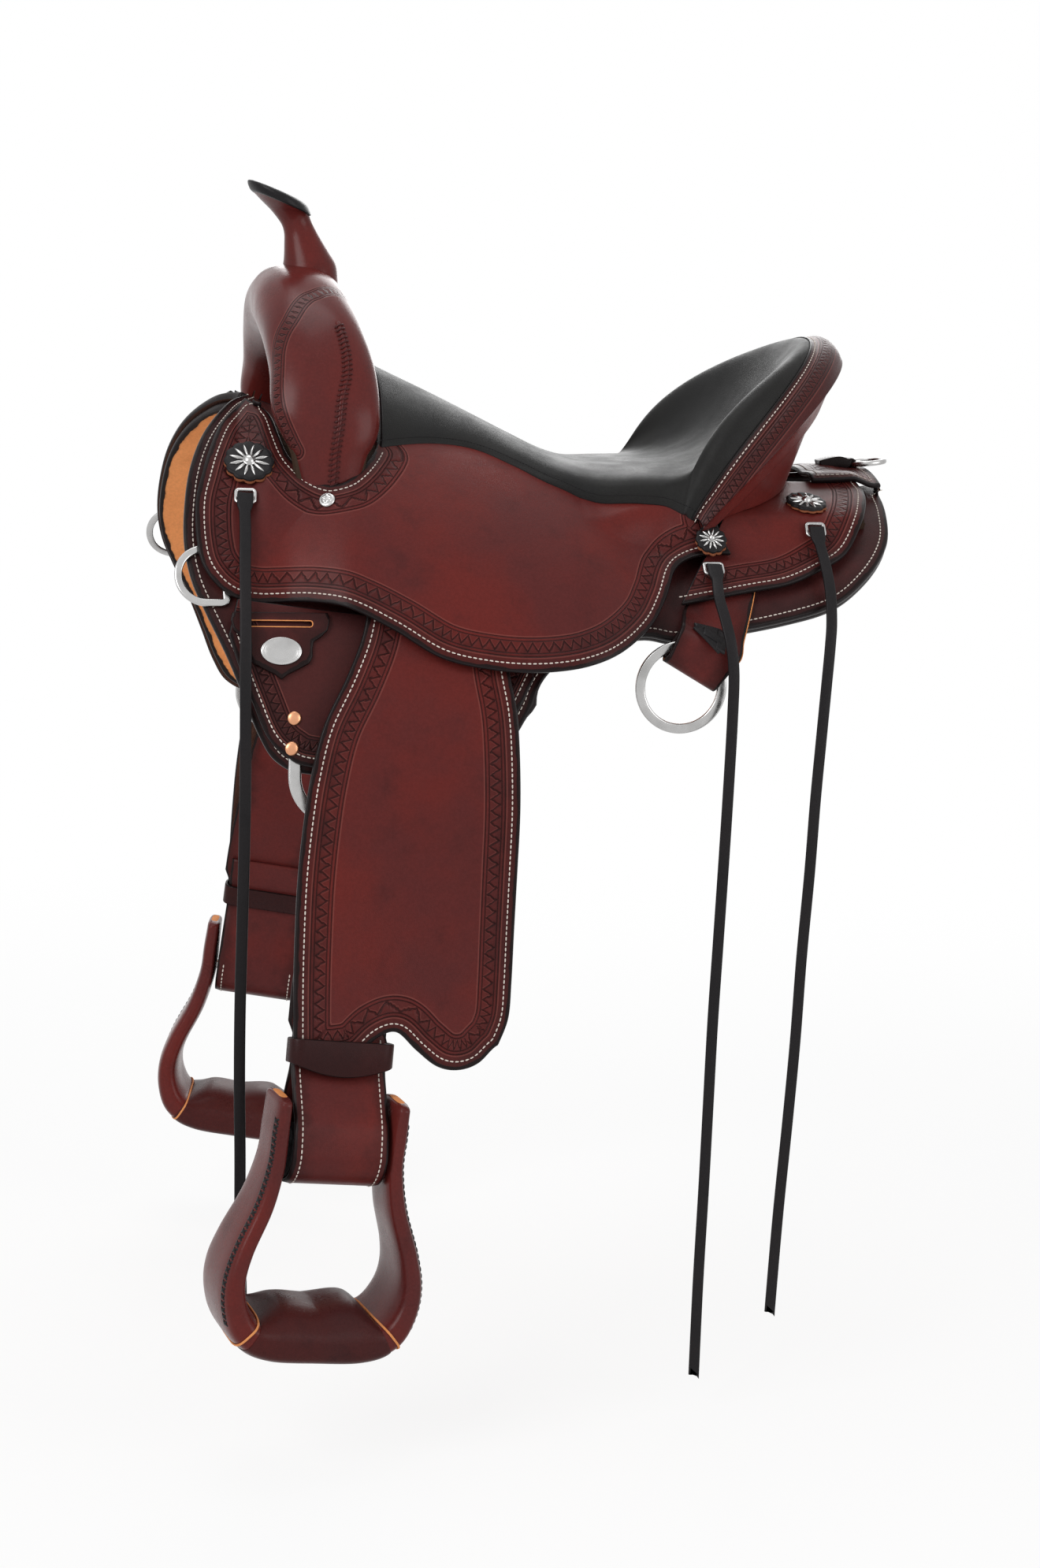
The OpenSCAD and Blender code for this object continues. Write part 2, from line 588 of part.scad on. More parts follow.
// The strap comes down at a slant, and its fold is square to it
fold_lean = 30;
fold_hole = sqrt(pow(ring_hole / 2, 2) - pow(fold_w / 2 + fold_room, 2));
ring_pin = (fold_hole + ring_d / 2) / 2;
fold_half = (ring_pin - fold_hole) * sin(ring_swing) + dee_t / 2 * cos(ring_swing) + 4 * layer_gap;
fold_r = fold_half + rear_strap_t / 2;
fold_up = fold_hole + fold_half - 3 * layer_gap;
fold_side = [cos(fold_lean), 0, -sin(fold_lean)];
ring_y = flank_at(ring_x, -60, 0)[1] - rear_strap_t - fold_half - 2 * layer_gap;
function from_ring(up, out) = [ring_x + up * sin(fold_lean), ring_y - out, ring_z + up * cos(fold_lean)];
module rear_ring() {
    color(steel) translate([ring_x, ring_y + dee_t / 2, ring_z]) rotate([90, 0, 0]) difference() {
        cylinder(d = ring_d, h = dee_t);
        translate([0, 0, -1]) cylinder(d = ring_hole, h = dee_t + 2);
    }
}
rear_strap_off = 3 * layer_gap + rear_strap_t / 2;
// Each place is x, height on the flank, and how far the strap has left the flank for the fold
strap_flank = [[114, -3, 0], [109, -16, 0], [102, -29, 0], [95, -42, 0], [89, -52, 0.1], [85, -59, 0.6]];
rear_strap_path = concat(
    [for (p = strap_flank) mix(flank_at(p[0], p[1], rear_strap_off), [p[0], ring_y - fold_r, p[1]], p[2])],
    [from_ring(ring_d / 2 + 2, fold_r)],
    [for (a = [0 : 30 : 180]) from_ring(fold_up - fold_r * sin(a), fold_r * cos(a))],
    [from_ring(fold_up + 9, -fold_r), from_ring(fold_up + 18, 2 - fold_r)]);
rear_strap_w = concat([48, 50, 52, 54, 56, 57, 56], [for (a = [0 : 30 : 180]) fold_w], [fold_w, fold_w]);
module rear_strap() {
    reach = 20 * [fold_side[0], fold_side[2]];
    sides = [for (i = [0 : len(rear_strap_path) - 1]) let(p = strap_flank[min(i, len(strap_flank) - 1)])
        let(ahead = flank_at(p[0] + reach[0], p[1] + reach[1], rear_strap_off))
        let(behind = flank_at(p[0] - reach[0], p[1] - reach[1], rear_strap_off))
        i >= len(strap_flank) ? fold_side : unit(mix(ahead - behind, 40 * fold_side, p[2]))];
    color(oxblood) tube(strap_rings(rear_strap_path, sides, rear_strap_w, rear_strap_t));
}

// Conchos on their leathers, and the clips that the strings hang from
// Each place is x, height on the flank, and how far around it the leather is taken as flat
concho_places = [[-280, 67, 20], [94, 6, 20], [185, 34, 8]];
clip_places = [[-284, 43, 10], [94, -9, 10], [185, 17, 8]];
screw_place = [-221, 30, 5];
function skin_at(i, x, z) = let(a = flank_angle(x, z, 12))
    flank(x, a, i == 2 ? rear_out(a) + over_bar(x, a) : jockey_out(x, a));
function skin_along(i, p) = skin_at(i, p[0] + p[2], p[1]) - skin_at(i, p[0] - p[2], p[1]);
function skin_up(i, p) = skin_at(i, p[0], p[1] + p[2]) - skin_at(i, p[0], p[1] - p[2]);
function off_skin(i, p, off) = skin_at(i, p[0], p[1]) + off * unit(cross(skin_along(i, p), skin_up(i, p)));
rosette_t = 3;
star_t = 1.5;
concho_lift = [2.8, 3.8, 0.9];
clip_lift = 2.2;
clip_skin = [0, 2, 2];
module on_skin(i, p, off) {
    seat_on(off_skin(i, p, off), skin_along(i, p), skin_up(i, p)) children();
}
// The middle and rear conchos are smaller than the front ones
concho_size = [1, 0.66, 0.86];
module at_concho(i) {
    on_skin(i, concho_places[i], concho_lift[i]) children();
}
scallops = 12;
scallop_h = 2.4;
module rosette(size) {
    steps = 8 * scallops;
    linear_extrude(rosette_t) polygon([for (k = [0 : steps - 1]) let(a = 360 * k / steps)
        size * (rosette_d / 2 - scallop_h * (1 - abs(cos(scallops * a / 2)))) * [cos(a), sin(a)]]);
}
module star(size) {
    rays = 12;
    r = size * concho_d / 2;
    linear_extrude(star_t) polygon([for (k = [0 : 2 * rays - 1]) let(a = 180 * k / rays)
        (k % 2 == 0 ? r : 0.42 * r) * [cos(a), sin(a)]]);
    intersection() {
        translate([0, 0, star_t - 5]) sphere(r = 7.5);
        translate([0, 0, star_t / 2]) cylinder(r = 6 * size, h = 5);
    }
}
module concho_rosettes() {
    color(black_leather) for (i = [0 : 2]) at_concho(i) rosette(concho_size[i]);
    color(black_leather) right() for (i = [0 : 2]) at_concho(i) rosette(concho_size[i]);
}
module star_conchos() {
    lift = rosette_t + layer_gap;
    color(steel) for (i = [0 : 2]) at_concho(i) translate([0, 0, lift]) star(concho_size[i]);
    color(steel) right() for (i = [0 : 2]) at_concho(i) translate([0, 0, lift]) star(concho_size[i]);
}
clip_w = string_w + 9;
clip_h = 14;
clip_wire = 3;
module clip() {
    linear_extrude(clip_wire) difference() {
        square([clip_w, clip_h], center = true);
        square([string_w + 3, clip_h - 2 * clip_wire], center = true);
    }
}
module string_clips() {
    color(steel) for (i = [0 : 2]) on_skin(clip_skin[i], clip_places[i], clip_lift) clip();
    color(steel) right() for (i = [0 : 2]) on_skin(clip_skin[i], clip_places[i], clip_lift) clip();
}
module screw_head() {
    on_skin(0, screw_place, 2 * layer_gap) difference() {
        cylinder(d = 13, h = 2.2);
        translate([-4, -0.7, 1.2]) cube([8, 1.4, 2]);
        translate([-0.7, -4, 1.2]) cube([1.4, 8, 2]);
    }
}
module jockey_screws() {
    color(steel) screw_head();
    color(steel) right() screw_head();
}

// Saddle strings on the near side: routes from the clip down, hanging free below the skirt
string_off = clip_lift + clip_wire + 3 * layer_gap + string_t / 2;
function string_start(i) = off_skin(clip_skin[i], clip_places[i], string_off);
function below_clip(i) = string_start(i) - clip_h * unit(skin_up(clip_skin[i], clip_places[i]));
string_ride = 9;
string_share = (flank_half_w + string_ride) / (drawn_half_w + string_ride);
function drawn(route) = [for (p = route) [p[0], p[1] * string_share, p[2]]];
string_front = concat([string_start(0), below_clip(0)], drawn([
    [-286, -180, 16], [-287, -192, -5], [-287.5, -206, -30], [-288, -219, -60], [-288, -226, -100],
    [-287.5, -227, -140], [-287, -227, -180], [-287, -227, -230], [-287.5, -227, -290], [-288, -227, -350],
    [-287.5, -227, -410], [-286, -227, -470], [-285, -227, -530], [-283, -227, -588]]));
string_mid = concat([string_start(1), below_clip(1)], drawn([
    [92, -195, -28], [94.5, -208, -44], [97.5, -217, -62], [100, -221, -85], [100, -223, -120],
    [99, -225, -170], [98, -225, -230], [96.5, -225, -300], [95, -225, -370], [94.5, -225, -440],
    [94, -225, -510], [93, -225, -590], [93, -225, -674]]));
string_rear = concat([string_start(2), below_clip(2)], drawn([
    [187.5, -167, -4], [188, -182, -24], [187, -193, -46], [185, -199, -66], [182.5, -203, -95],
    [179.5, -206, -140], [177, -207, -190], [175, -208, -250], [172, -208, -320], [170, -209, -390],
    [167, -209, -460], [163, -209, -540], [160, -209, -628]]));
module saddle_string(route) {
    n = 2 * len(route);
    path = [for (i = [0 : n]) curve(route, i / n)];
    side = [for (p = path) [1, 0, 0]];
    color(black_leather) tube(strap_rings(path, side, [for (p = path) string_w], string_t));
}

// How the fenders hang: out from the flank under the jockey, then nearly straight down
hang_bend = [-150, -80];
hang_share = (flank_half_w + flap_in) / (drawn_half_w + flap_in);
hang_y = 218 * hang_share;
hang_slope = [0.176, 0.404 * hang_share];
twist = 10;
twist_x = -222;
function hang(z) = let(h = hang_bend[1] - hang_bend[0])
    let(mid = hang_y + h * (hang_slope[0] + hang_slope[1]) / 2)
    z >= hang_bend[1] ? hang_y - hang_slope[1] * (z - hang_bend[1])
    : z <= hang_bend[0] ? mid + hang_slope[0] * (hang_bend[0] - z)
    : let(d = z - hang_bend[0]) mid - hang_slope[0] * d - (hang_slope[1] - hang_slope[0]) * d * d / (2 * h);
function twist_at(z) = twist * ramp(-150, -380, z);
function hang_at(x, z, off) = [x, -(hang(z) + off) + tan(twist_at(z)) * (x - twist_x), z];

// Fender
fender_front = [[-190, -30], [-197, -60], [-210, -90], [-228, -126], [-238, -165], [-244, -204],
    [-248, -243], [-250, -282], [-251, -321], [-251, -372]];
fender_rear = [[-86, -52], [-84, -83], [-79, -113], [-77, -143], [-76, -189], [-77, -235], [-78, -280],
    [-79, -326], [-81, -354], [-89, -374]];
fender_foot = [-378, -378, -378, -375, -362, -359, -374, -387, -391, -387, -374];
fender_in = strap_t + 4 * layer_gap;
function fender_point(u, v) = let(f = curve(fender_front, v), r = curve(fender_rear, v))
    let(z = mix(f[1], r[1], u), foot = curve(fender_foot, u))
    let(edge = mix(fender_front[9][1], fender_rear[9][1], u))
    [mix(f[0], r[0], u), z + (foot - edge) * ramp(0.6, 1, v)];
fender_grid = [for (i = [0 : 18]) [for (j = [0 : 16]) fender_point(i / 18, 1 - j / 16)]];
module fender() {
    color(oxblood) sheet(
        [for (row = fender_grid) [for (p = row) hang_at(p[0], p[1], fender_in + fender_t)]],
        [for (row = fender_grid) [for (p = row) hang_at(p[0], p[1], fender_in)]]);
}

// Stirrup bolt frame: the bolt lies across the loop of the leather, turned and tilted a little
bolt_x = -222;
bolt_z = -449;
bolt_tilt = 7;
bolt_at = [bolt_x, -hang(bolt_z) - strap_t / 2, bolt_z];
bolt_axis = [cos(twist) * cos(bolt_tilt), sin(twist) * cos(bolt_tilt), -sin(bolt_tilt)];
bolt_out = [sin(twist), -cos(twist), 0];
bolt_up = cross(bolt_axis, -bolt_out);
loop_lean = atan(hang_slope[0]);
loop_up = cos(loop_lean) * bolt_up - sin(loop_lean) * bolt_out;
loop_out = cos(loop_lean) * bolt_out + sin(loop_lean) * bolt_up;
function from_bolt(out, up) = bolt_at + loop_out * out + loop_up * up;
module at_bolt() {
    translate(bolt_at) rotate([0, bolt_tilt, twist]) children();
}

// Stirrup leather: flat behind the fender, then a loop round the roller and up again behind itself
strap_top_z = -12;
hobble_up = 76;
loop_r = sleeve_d / 2 + 2 * layer_gap + strap_t / 2;
strap_line = [[-136, strap_top_z], [-146, -60], [-166, -120], [-187, -190], [-204, -260], [-215, -320],
    [-219, -352]];
strap_steps = 11;
back_gap = strap_t + 2 * layer_gap;
function strap_point(u) = let(p = curve(strap_line, u)) hang_at(p[0], p[1], strap_t / 2);
function strap_side(u) = let(p = curve(strap_line, u), q = curve(strap_line, min(1, u + 0.02)))
    let(r = curve(strap_line, max(0, u - 0.02)), d = 20 * unit([r[1] - q[1], q[0] - r[0]]))
    unit(hang_at(p[0] + d[0], p[1] + d[1], 0) - hang_at(p[0] - d[0], p[1] - d[1], 0));
leather_path = concat(
    [for (i = [0 : strap_steps]) strap_point(i / strap_steps)],
    [from_bolt(0, 84), from_bolt(0, 64), from_bolt(9, 44), from_bolt(loop_r - 3, 20)],
    [for (a = [0 : 20 : 180]) from_bolt(loop_r * cos(a), -loop_r * sin(a))],
    [from_bolt(3 - loop_r, 20), from_bolt(-back_gap - 8, 44)],
    [for (up = [64, 84, 112]) from_bolt(-back_gap, up)]);
leather_side = [for (i = [0 : len(leather_path) - 1]) i > strap_steps ? bolt_axis
    : unit(mix(strap_side(i / strap_steps), bolt_axis, ramp(strap_steps - 3, strap_steps + 1, i)))];
module stirrup_leather() {
    color(oxblood) tube(strap_rings(leather_path, leather_side, [for (p = leather_path) strap_w], strap_t));
}

// Upper part of the leather: from behind the top of the fender it goes up over the bar and down inside it
over_bar_x = -134;
over_bar_off = 4 * layer_gap + bar_t + strap_t / 2;
module leather_loop() {
    angles = [41 : -7 : 13];
    path = concat(
        [for (z = [-26, -14, 2]) hang_at(over_bar_x, z, -strap_t / 2 - 5 * layer_gap)],
        [for (a = angles) flank(over_bar_x, a, over_bar_off)]);
    fall = [for (a = angles)
        unit(flank(over_bar_x + 20, a, over_bar_off) - flank(over_bar_x - 20, a, over_bar_off))];
    side = concat([[1, 0, 0], [1, 0, 0], unit(fall[0] + [1, 0, 0])], fall);
    color(oxblood) tube(strap_rings(path, side, [for (p = path) strap_w], strap_t));
}

// Hobble strap: a band round both parts of the leather above the loop
hobble_t = 3;
hobble_h = 22;
hobble_slack = 1.2;
module hobble_strap() {
    front = strap_t / 2 + 4 * layer_gap + fender_t + hobble_slack;
    back = back_gap + strap_t / 2 + hobble_slack;
    inside = [strap_w + 2 * hobble_slack, front + back];
    color(dark_leather) at_bolt() rotate([-loop_lean, 0, 0])
        translate([0, (back - front) / 2, hobble_up - hobble_h / 2]) linear_extrude(hobble_h) difference() {
            square(inside + [2 * hobble_t, 2 * hobble_t], center = true);
            square(inside, center = true);
        }
}

// Roller, bolt and stirrup
stirrup_gap = strap_w + 5;
head_t = 6;
module stirrup_sleeve() {
    color(dark_leather) at_bolt() rotate([0, 90, 0]) difference() {
        cylinder(d = sleeve_d, h = strap_w, center = true);
        cylinder(d = bolt_d + 2 * running_fit, h = strap_w + 2, center = true);
    }
}
head_d = 1.7 * bolt_d;
head_out = stirrup_gap / 2 + 0.82 * branch_t;
module stirrup_bolt() {
    color(steel) at_bolt() rotate([0, 90, 0]) {
        cylinder(d = bolt_d, h = 2 * head_out, center = true);
        for (s = [-1, 1]) translate([0, 0, s * (head_out - head_t / 2)])
            cylinder(d = head_d, h = head_t, center = true);
    }
}
branch_x = stirrup_gap / 2 + branch_t / 2 - 1;
wide_x = stirrup_inside_w / 2 + branch_t / 2 + 2;
stirrup_line = [[branch_x, 40, 0.75, 0], [branch_x, 18, 0.85, 0], [branch_x, -8, 0.9, 0.05],
    [branch_x + 6, -40, 1, 0.25], [wide_x - 6, -74, 1.08, 0.5], [wide_x - 1, -98, 1.2, 0.72],
    [wide_x - 4, -119, 1.4, 0.88], [wide_x - 15, -137, 1.65, 1], [wide_x - 37, -145, 1.75, 1],
    [0, -146, 1.75, 1]];
stirrup_round = 0.55;
stirrup_steps = 16;
function stirrup_ring(u) =
    let(c = curve(stirrup_line, 1 - abs(u)), a = curve(stirrup_line, min(1, 1.02 - abs(u))))
    let(b = curve(stirrup_line, max(0, 0.98 - abs(u))), way = u < 0 ? -1 : 1)
    let(d = unit([a[0] - b[0], a[1] - b[1]]), t = c[2] * branch_t / 2)
    let(h = mix(branch_depth, tread_depth, c[3]) / 2)
    [for (k = [0 : 11]) let(e = -30 * k)
        let(p = t * squarish(cos(e), stirrup_round), q = h * squarish(sin(e), stirrup_round))
        bolt_at + bolt_axis * way * (c[0] - p * d[1]) + bolt_up * (c[1] + p * d[0]) + bolt_out * q];
module stirrup() {
    color(oxblood) difference() {
        tube([for (i = [-stirrup_steps : stirrup_steps]) stirrup_ring(i / stirrup_steps)]);
        at_bolt() rotate([0, 90, 0]) {
            cylinder(d = bolt_d + 2 * layer_gap, h = 2 * head_out + 40, center = true);
            for (s = [-1, 1]) translate([0, 0, s * (head_out - head_t - layer_gap + 20)])
                cylinder(d = head_d + 2 * layer_gap, h = 40, center = true);
        }
    }
}

tree_bar();  // tree_bar_left
right() tree_bar();  // tree_bar_right
tree_fork();
tree_cantle();
ground_seat();
horn_core();
horn_wrap();
horn_cap();
fork_cover();
seat_pad();
cantle_back();
cantle_binding();
seat_jockey();  // seat_jockey_left
right() seat_jockey();  // seat_jockey_right
rear_jockey();  // rear_jockey_left
right() rear_jockey();  // rear_jockey_right
back_strip();
crupper_tab();
crupper_ring();
skirt();  // skirt_left
right() skirt();  // skirt_right
lining();  // lining_left
right() lining();  // lining_right
rigging_plate();  // rigging_plate_left
right() rigging_plate();  // rigging_plate_right
rigging_rivets();
front_dee();  // front_dee_left
right() front_dee();  // front_dee_right
latigo_keeper();  // latigo_keeper_left
right() latigo_keeper();  // latigo_keeper_right
keeper_badges();
breast_dee();  // breast_dee_left
right() breast_dee();  // breast_dee_right
rear_strap();  // rear_strap_left
right() rear_strap();  // rear_strap_right
rear_ring();  // rear_ring_left
right() rear_ring();  // rear_ring_right
concho_rosettes();
star_conchos();
string_clips();
jockey_screws();
saddle_string(string_front);  // string_front_left
saddle_string(string_mid);  // string_mid_left
saddle_string(string_rear);  // string_rear_left
leather_loop();  // leather_loop_left
right() leather_loop();  // leather_loop_right
stirrup_leather();  // stirrup_leather_left
right() stirrup_leather();  // stirrup_leather_right
fender();  // fender_left
right() fender();  // fender_right
hobble_strap();  // hobble_strap_left
right() hobble_strap();  // hobble_strap_right
stirrup_sleeve();  // stirrup_sleeve_left
right() stirrup_sleeve();  // stirrup_sleeve_right
stirrup_bolt();  // stirrup_bolt_left
right() stirrup_bolt();  // stirrup_bolt_right
stirrup();  // stirrup_left
right() stirrup();  // stirrup_right
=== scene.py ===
"""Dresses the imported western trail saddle: leathers, tooling, stitching, metal and studio.

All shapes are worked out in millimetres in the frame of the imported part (front is -X, the
near side is -Y, up is +Z) and become metres when their mesh is made.
"""

from __future__ import annotations

import json
import logging
import math
from dataclasses import dataclass, field
from enum import Enum
from typing import Sequence

import bpy
import numpy as np
from mathutils import Matrix, Vector
from mathutils.kdtree import KDTree

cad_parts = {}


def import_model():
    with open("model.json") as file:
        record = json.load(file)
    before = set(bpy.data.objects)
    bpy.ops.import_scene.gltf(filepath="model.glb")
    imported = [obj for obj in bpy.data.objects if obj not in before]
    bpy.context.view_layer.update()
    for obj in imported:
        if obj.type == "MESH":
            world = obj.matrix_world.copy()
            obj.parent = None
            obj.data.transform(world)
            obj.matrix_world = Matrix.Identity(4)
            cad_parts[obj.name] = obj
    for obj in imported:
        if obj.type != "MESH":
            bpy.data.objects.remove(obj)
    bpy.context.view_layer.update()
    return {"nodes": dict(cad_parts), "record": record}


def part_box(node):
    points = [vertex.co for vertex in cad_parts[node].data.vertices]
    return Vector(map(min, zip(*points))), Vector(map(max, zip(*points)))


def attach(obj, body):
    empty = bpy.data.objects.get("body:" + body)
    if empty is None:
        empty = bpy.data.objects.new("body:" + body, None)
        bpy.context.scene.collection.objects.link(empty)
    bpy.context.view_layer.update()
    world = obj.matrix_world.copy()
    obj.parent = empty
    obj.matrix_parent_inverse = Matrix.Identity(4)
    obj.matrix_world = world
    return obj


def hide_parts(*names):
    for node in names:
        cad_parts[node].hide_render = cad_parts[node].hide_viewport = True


log = logging.getLogger("saddle")

MM = 0.001
# Millimetres from a worked edge that count as none near
FAR = 200.0
Array = np.ndarray
Colour = tuple[float, float, float]
COLOUR, VALUE = "NodeSocketColor", "NodeSocketFloat"


class Side(Enum):
    """The two sides of the saddle, with the sign of Y on each."""

    LEFT = -1
    RIGHT = 1

    @property
    def tag(self) -> str:
        """The side as it ends the names of nodes and pieces."""
        return self.name.lower()


class Slot(Enum):
    """The record's material slots."""

    OXBLOOD = "oxblood_leather"
    DARK = "dark_leather"
    BLACK = "black_leather"
    SEAT = "seat_leather"
    LINING = "lining_leather"
    STEEL = "steel"
    COPPER = "copper"
    WOOD = "tree_wood"
    STRAINER = "strainer_steel"
    IRON = "horn_iron"
    SLEEVE = "sleeve_plastic"


def mix(a: Array | float, b: Array | float, u: Array | float) -> Array:
    """A straight blend from a to b."""
    return np.asarray(a) * (1 - np.asarray(u)) + np.asarray(b) * u


def unit(v: Array) -> Array:
    """Vectors of length one along the last axis."""
    v = np.asarray(v, float)
    return v / np.maximum(np.linalg.norm(v, axis=-1, keepdims=True), 1e-9)


def ramp(a: float, b: float, s: Array | float) -> Array:
    """A smooth step from 0 at a to 1 at b."""
    u = np.clip((np.asarray(s, float) - a) / (b - a), 0, 1)
    return u * u * (3 - 2 * u)


def curve(points: Sequence, u: Array | float) -> Array:
    """Points on a smooth curve through knots.

    Args:
        points: the knots, as numbers or as rows of numbers.
        u: places on the curve from 0 to 1.

    Returns:
        One row for each place, or one number where the knots are numbers.
    """
    p = np.asarray(points, float)
    scalar = p.ndim == 1
    p = p[:, None] if scalar else p
    s = np.clip(np.asarray(u, float), 0, 1) * (len(p) - 1)
    i = np.minimum(len(p) - 2, np.floor(s).astype(int))
    f = (s - i)[..., None]
    a, b, c, d = (p[np.clip(i + k, 0, len(p) - 1)] for k in (-1, 0, 1, 2))
    out = b + 0.5 * f * (c - a + f * (2 * a - 5 * b + 4 * c - d + f * (3 * (b - c) + d - a)))
    return out[..., 0] if scalar else out


def squarish(a: Array, power: float) -> Array:
    """A sine or cosine bent towards a square section."""
    return np.sign(a) * np.abs(a) ** power


def square_to(v: Array, t: Array) -> Array:
    """Unit vectors along v, made square to t."""
    return unit(v - t * np.sum(v * t, axis=1, keepdims=True))


def circle(radius: float, count: int) -> Array:
    """Even points on a circle, as rows of two numbers."""
    a = np.linspace(0, 2 * math.pi, count, endpoint=False)
    return radius * np.stack([np.cos(a), np.sin(a)], axis=1)


def calmed(rows: Array, passes: int) -> Array:
    """Rows smoothed along the first axis, with the first and the last kept."""
    for _ in range(passes):
        rows[1:-1] = (rows[:-2] + 2 * rows[1:-1] + rows[2:]) / 4
    return rows


def search_tree(points: Array) -> KDTree:
    """A tree that finds the nearest of some points."""
    tree = KDTree(len(points))
    for i, p in enumerate(points):
        tree.insert(p, i)
    tree.balance()
    return tree


def resample(path: Array, step: float) -> tuple[Array, Array]:
    """Even points along a polyline.

    Args:
        path: the polyline's points.
        step: the wanted spacing.

    Returns:
        The points and their distance along the polyline.
    """
    lengths = np.r_[0, np.cumsum(np.linalg.norm(np.diff(path, axis=0), axis=1))]
    count = max(2, int(round(lengths[-1] / step)) + 1)
    at = np.linspace(0, lengths[-1], count)
    return np.stack([np.interp(at, lengths, path[:, k]) for k in range(3)], axis=1), at


def nearest_on(path: Array, points: Array) -> tuple[Array, Array]:
    """Distance from points to a polyline, and how far along it the nearest place is."""
    dense, at = resample(path, 1.2)
    tree = search_tree(dense)
    hits = [tree.find(p)[1:] for p in points]
    return np.array([h[1] for h in hits]), np.array([at[h[0]] for h in hits])


class Part(Enum):
    """Material slots of a leather piece: its face, its edge and its flesh side."""

    FACE = 0
    EDGE = 1
    FLESH = 2


class Shape:
    """Points in millimetres and faces that grow into one mesh."""

    def __init__(self) -> None:
        """Starts an empty shape."""
        self.points: list[Array] = []
        self.faces: list[list[int]] = []
        self.parts: list[int] = []
        self.edge: list[Array] = []
        self.along: list[Array] = []
        self.count = 0

    def add(
        self,
        points: Array,
        faces: Sequence,
        part: int = 0,
        edge: Array | None = None,
        along: Array | None = None,
    ) -> int:
        """Adds points and the faces on them.

        Args:
            points: rows of x, y, z.
            faces: index lists that count from this call's first point.
            part: the material slot of the faces.
            edge: distance of each point from the piece's worked edge.
            along: place of each point along that edge.

        Returns:
            The index of the first point.
        """
        points = np.asarray(points, float).reshape(-1, 3)
        first = self.count
        self.points.append(points)
        self.faces.extend([[int(k) + first for k in f] for f in faces])
        self.parts.extend([part] * len(faces))
        self.edge.append(np.full(len(points), FAR) if edge is None else np.ravel(edge))
        self.along.append(np.zeros(len(points)) if along is None else np.ravel(along))
        self.count += len(points)
        return first

    def stitch_faces(self, faces: Sequence, part: int) -> None:
        """Adds faces on points that are already in the shape."""
        self.faces.extend([[int(k) for k in f] for f in faces])
        self.parts.extend([part] * len(faces))

    def join(self, other: Shape) -> None:
        """Takes in all of another shape."""
        first = self.count
        self.points.extend(other.points)
        self.edge.extend(other.edge)
        self.along.extend(other.along)
        self.faces.extend([[k + first for k in f] for f in other.faces])
        self.parts.extend(other.parts)
        self.count += other.count

    def make(self, name: str, materials: Sequence, side: Side = Side.LEFT) -> bpy.types.Object:
        """Makes the mesh object.

        Args:
            name: the object's name.
            materials: materials in the order of the parts.
            side: RIGHT mirrors the shape to the far side.

        Returns:
            The new object, linked to the scene.
        """
        points = np.concatenate(self.points) * MM
        faces = self.faces
        if side is Side.RIGHT:
            points = points * [1, -1, 1]
            faces = [f[::-1] for f in faces]
        mesh = bpy.data.meshes.new(name)
        mesh.from_pydata(points.tolist(), [], faces)
        for title, values in (("edge", self.edge), ("along", self.along)):
            layer = mesh.attributes.new(title, "FLOAT", "POINT")
            layer.data.foreach_set("value", np.concatenate(values).astype(np.float32))
        for material in materials:
            mesh.materials.append(material)
        top = len(materials) - 1
        mesh.polygons.foreach_set("material_index", np.minimum(self.parts, top).astype(np.int32))
        mesh.polygons.foreach_set("use_smooth", np.ones(len(faces), bool))
        mesh.update()
        made = bpy.data.objects.new(name, mesh)
        bpy.context.scene.collection.objects.link(made)
        return made


def grid_faces(n: int, m: int, wrap: bool = False) -> list[list[int]]:
    """Quads of an n by m grid, joined to itself across its second direction if wrap is set."""
    last = m if wrap else m - 1
    return [
        [i * m + j, (i + 1) * m + j, (i + 1) * m + (j + 1) % m, i * m + (j + 1) % m]
        for i in range(n - 1)
        for j in range(last)
    ]


def grid_normals(grid: Array) -> Array:
    """Unit normals of a grid of points."""
    return unit(np.cross(np.gradient(grid, axis=0), np.gradient(grid, axis=1)))


def rim_loop(n: int, m: int) -> list[int]:
    """Indices round the rim of an n by m grid, against the clock as seen from outside."""
    return (
        [i * m for i in range(n)]
        + [(n - 1) * m + j for j in range(1, m)]
        + [i * m + m - 1 for i in range(n - 2, -1, -1)]
        + [j for j in range(m - 2, 0, -1)]
    )


